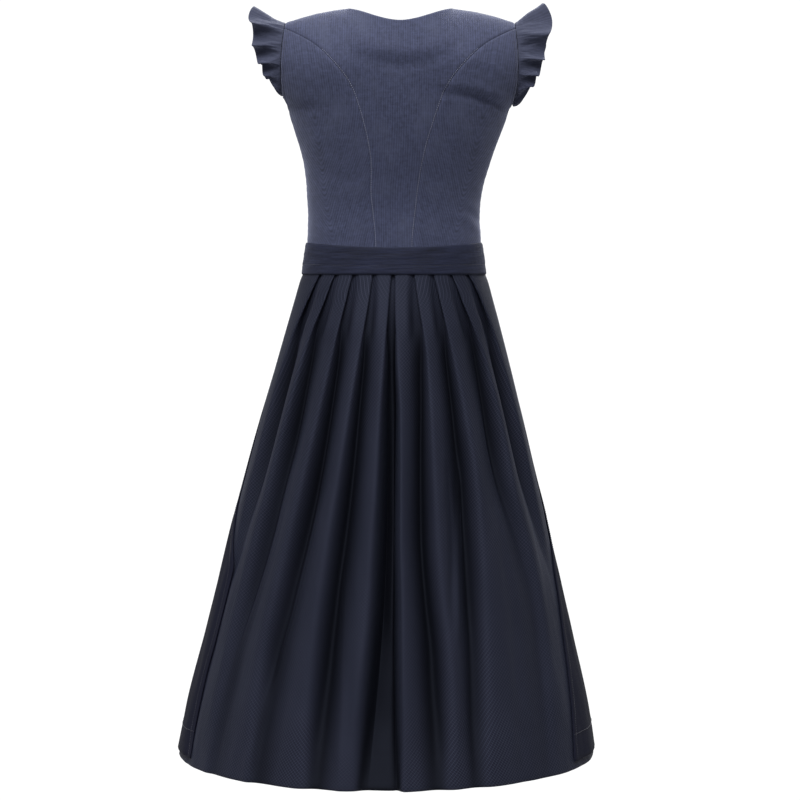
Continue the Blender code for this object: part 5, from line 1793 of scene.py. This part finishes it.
@dataclass
class Studio:
    """Pale floor, white surroundings, soft light from above, and the camera behind the dress."""

    floor_z: float = -1.85
    floor_radius: float = 1.0
    floor_sides: int = 96
    camera_place: Place = (-0.002, -3.3, -0.385)
    camera_drop: float = 3.34
    lens: float = 99.0
    sensor: float = 36.0
    white: float = 1.08
    surroundings: float = 0.46
    lights: tuple[tuple[str, float, float, Place], ...] = (  # name, power, spread, direction
        ("key", 3.1, 30.0, (0.11, 0.78, -1.0)),
        ("top", 2.8, 50.0, (0.1, 0.12, -1.0)),
        ("fill", 2.8, 40.0, (-0.2, -0.95, -0.6)),
    )

    def build(self) -> None:
        """Makes the floor, the lights and the camera."""
        self.add_floor()
        self.add_surroundings()
        for light in self.lights:
            self.add_light(*light)
        self.add_camera()

    def add_floor(self) -> None:
        """Round floor of pale paper below the hem."""
        turns = 2 * math.pi * np.arange(self.floor_sides) / self.floor_sides
        rim = np.stack([np.cos(turns) * self.floor_radius, np.sin(turns) * self.floor_radius,
                        np.full(self.floor_sides, self.floor_z)], axis=-1)
        mesh_object("floor", rim, [tuple(range(self.floor_sides))], [Matt("paper").make()])

    def add_surroundings(self) -> None:
        """White surroundings that light the dress less than they show."""
        world = bpy.data.worlds.new("studio")
        world.use_nodes = True
        nodes, links = world.node_tree.nodes, world.node_tree.links
        seen = nodes.new("ShaderNodeLightPath").outputs["Is Camera Ray"]
        strength = nodes.new("ShaderNodeMapRange")
        strength.inputs["To Min"].default_value = self.surroundings
        strength.inputs["To Max"].default_value = self.white
        links.new(seen, strength.inputs["Value"])
        nodes["Background"].inputs["Color"].default_value = (1.0, 1.0, 1.0, 1.0)
        links.new(strength.outputs["Result"], nodes["Background"].inputs["Strength"])
        bpy.context.scene.world = world

    def add_light(self, name: str, power: float, spread: float, way: Place) -> None:
        """Adds a wide soft light from far away.

        Args:
            name: its name.
            power: its power in watts per square metre.
            spread: how wide it looks from the dress, in degrees.
            way: direction in which it shines.
        """
        data = bpy.data.lights.new(name, "SUN")
        data.energy = power
        data.angle = math.radians(spread)
        light = bpy.data.objects.new(name, data)
        x, y, z = way
        light.rotation_euler = (math.atan2(math.hypot(x, y), -z), 0.0, math.atan2(y, x) - math.pi / 2)
        bpy.context.scene.collection.objects.link(light)

    def add_camera(self) -> None:
        """Adds the camera, level with the hips and looking a little down."""
        data = bpy.data.cameras.new("camera")
        data.lens = self.lens
        data.sensor_width = self.sensor
        camera = bpy.data.objects.new("camera", data)
        camera.location = self.camera_place
        camera.rotation_euler = (math.radians(90 - self.camera_drop), 0.0, 0.0)
        bpy.context.scene.collection.objects.link(camera)
        bpy.context.scene.camera = camera
        bpy.context.scene.view_settings.view_transform = "Standard"


def main() -> None:
    """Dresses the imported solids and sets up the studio."""
    logging.basicConfig(level=logging.INFO, format="%(name)s %(message)s")
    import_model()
    form = WornForm()
    cloths = Cloths()
    bodice = Bodice(form, cloths)
    skirt = Skirt(form, cloths)
    for part in (bodice, Ruffles(form, bodice, cloths), Waistband(form, cloths), skirt,
                 Apron(form, skirt, cloths), Buttons(form, bodice, cloths)):
        part.build()
        LOG.info("%s made", type(part).__name__)
    Studio().build()


if __name__ == "__main__":
    main()
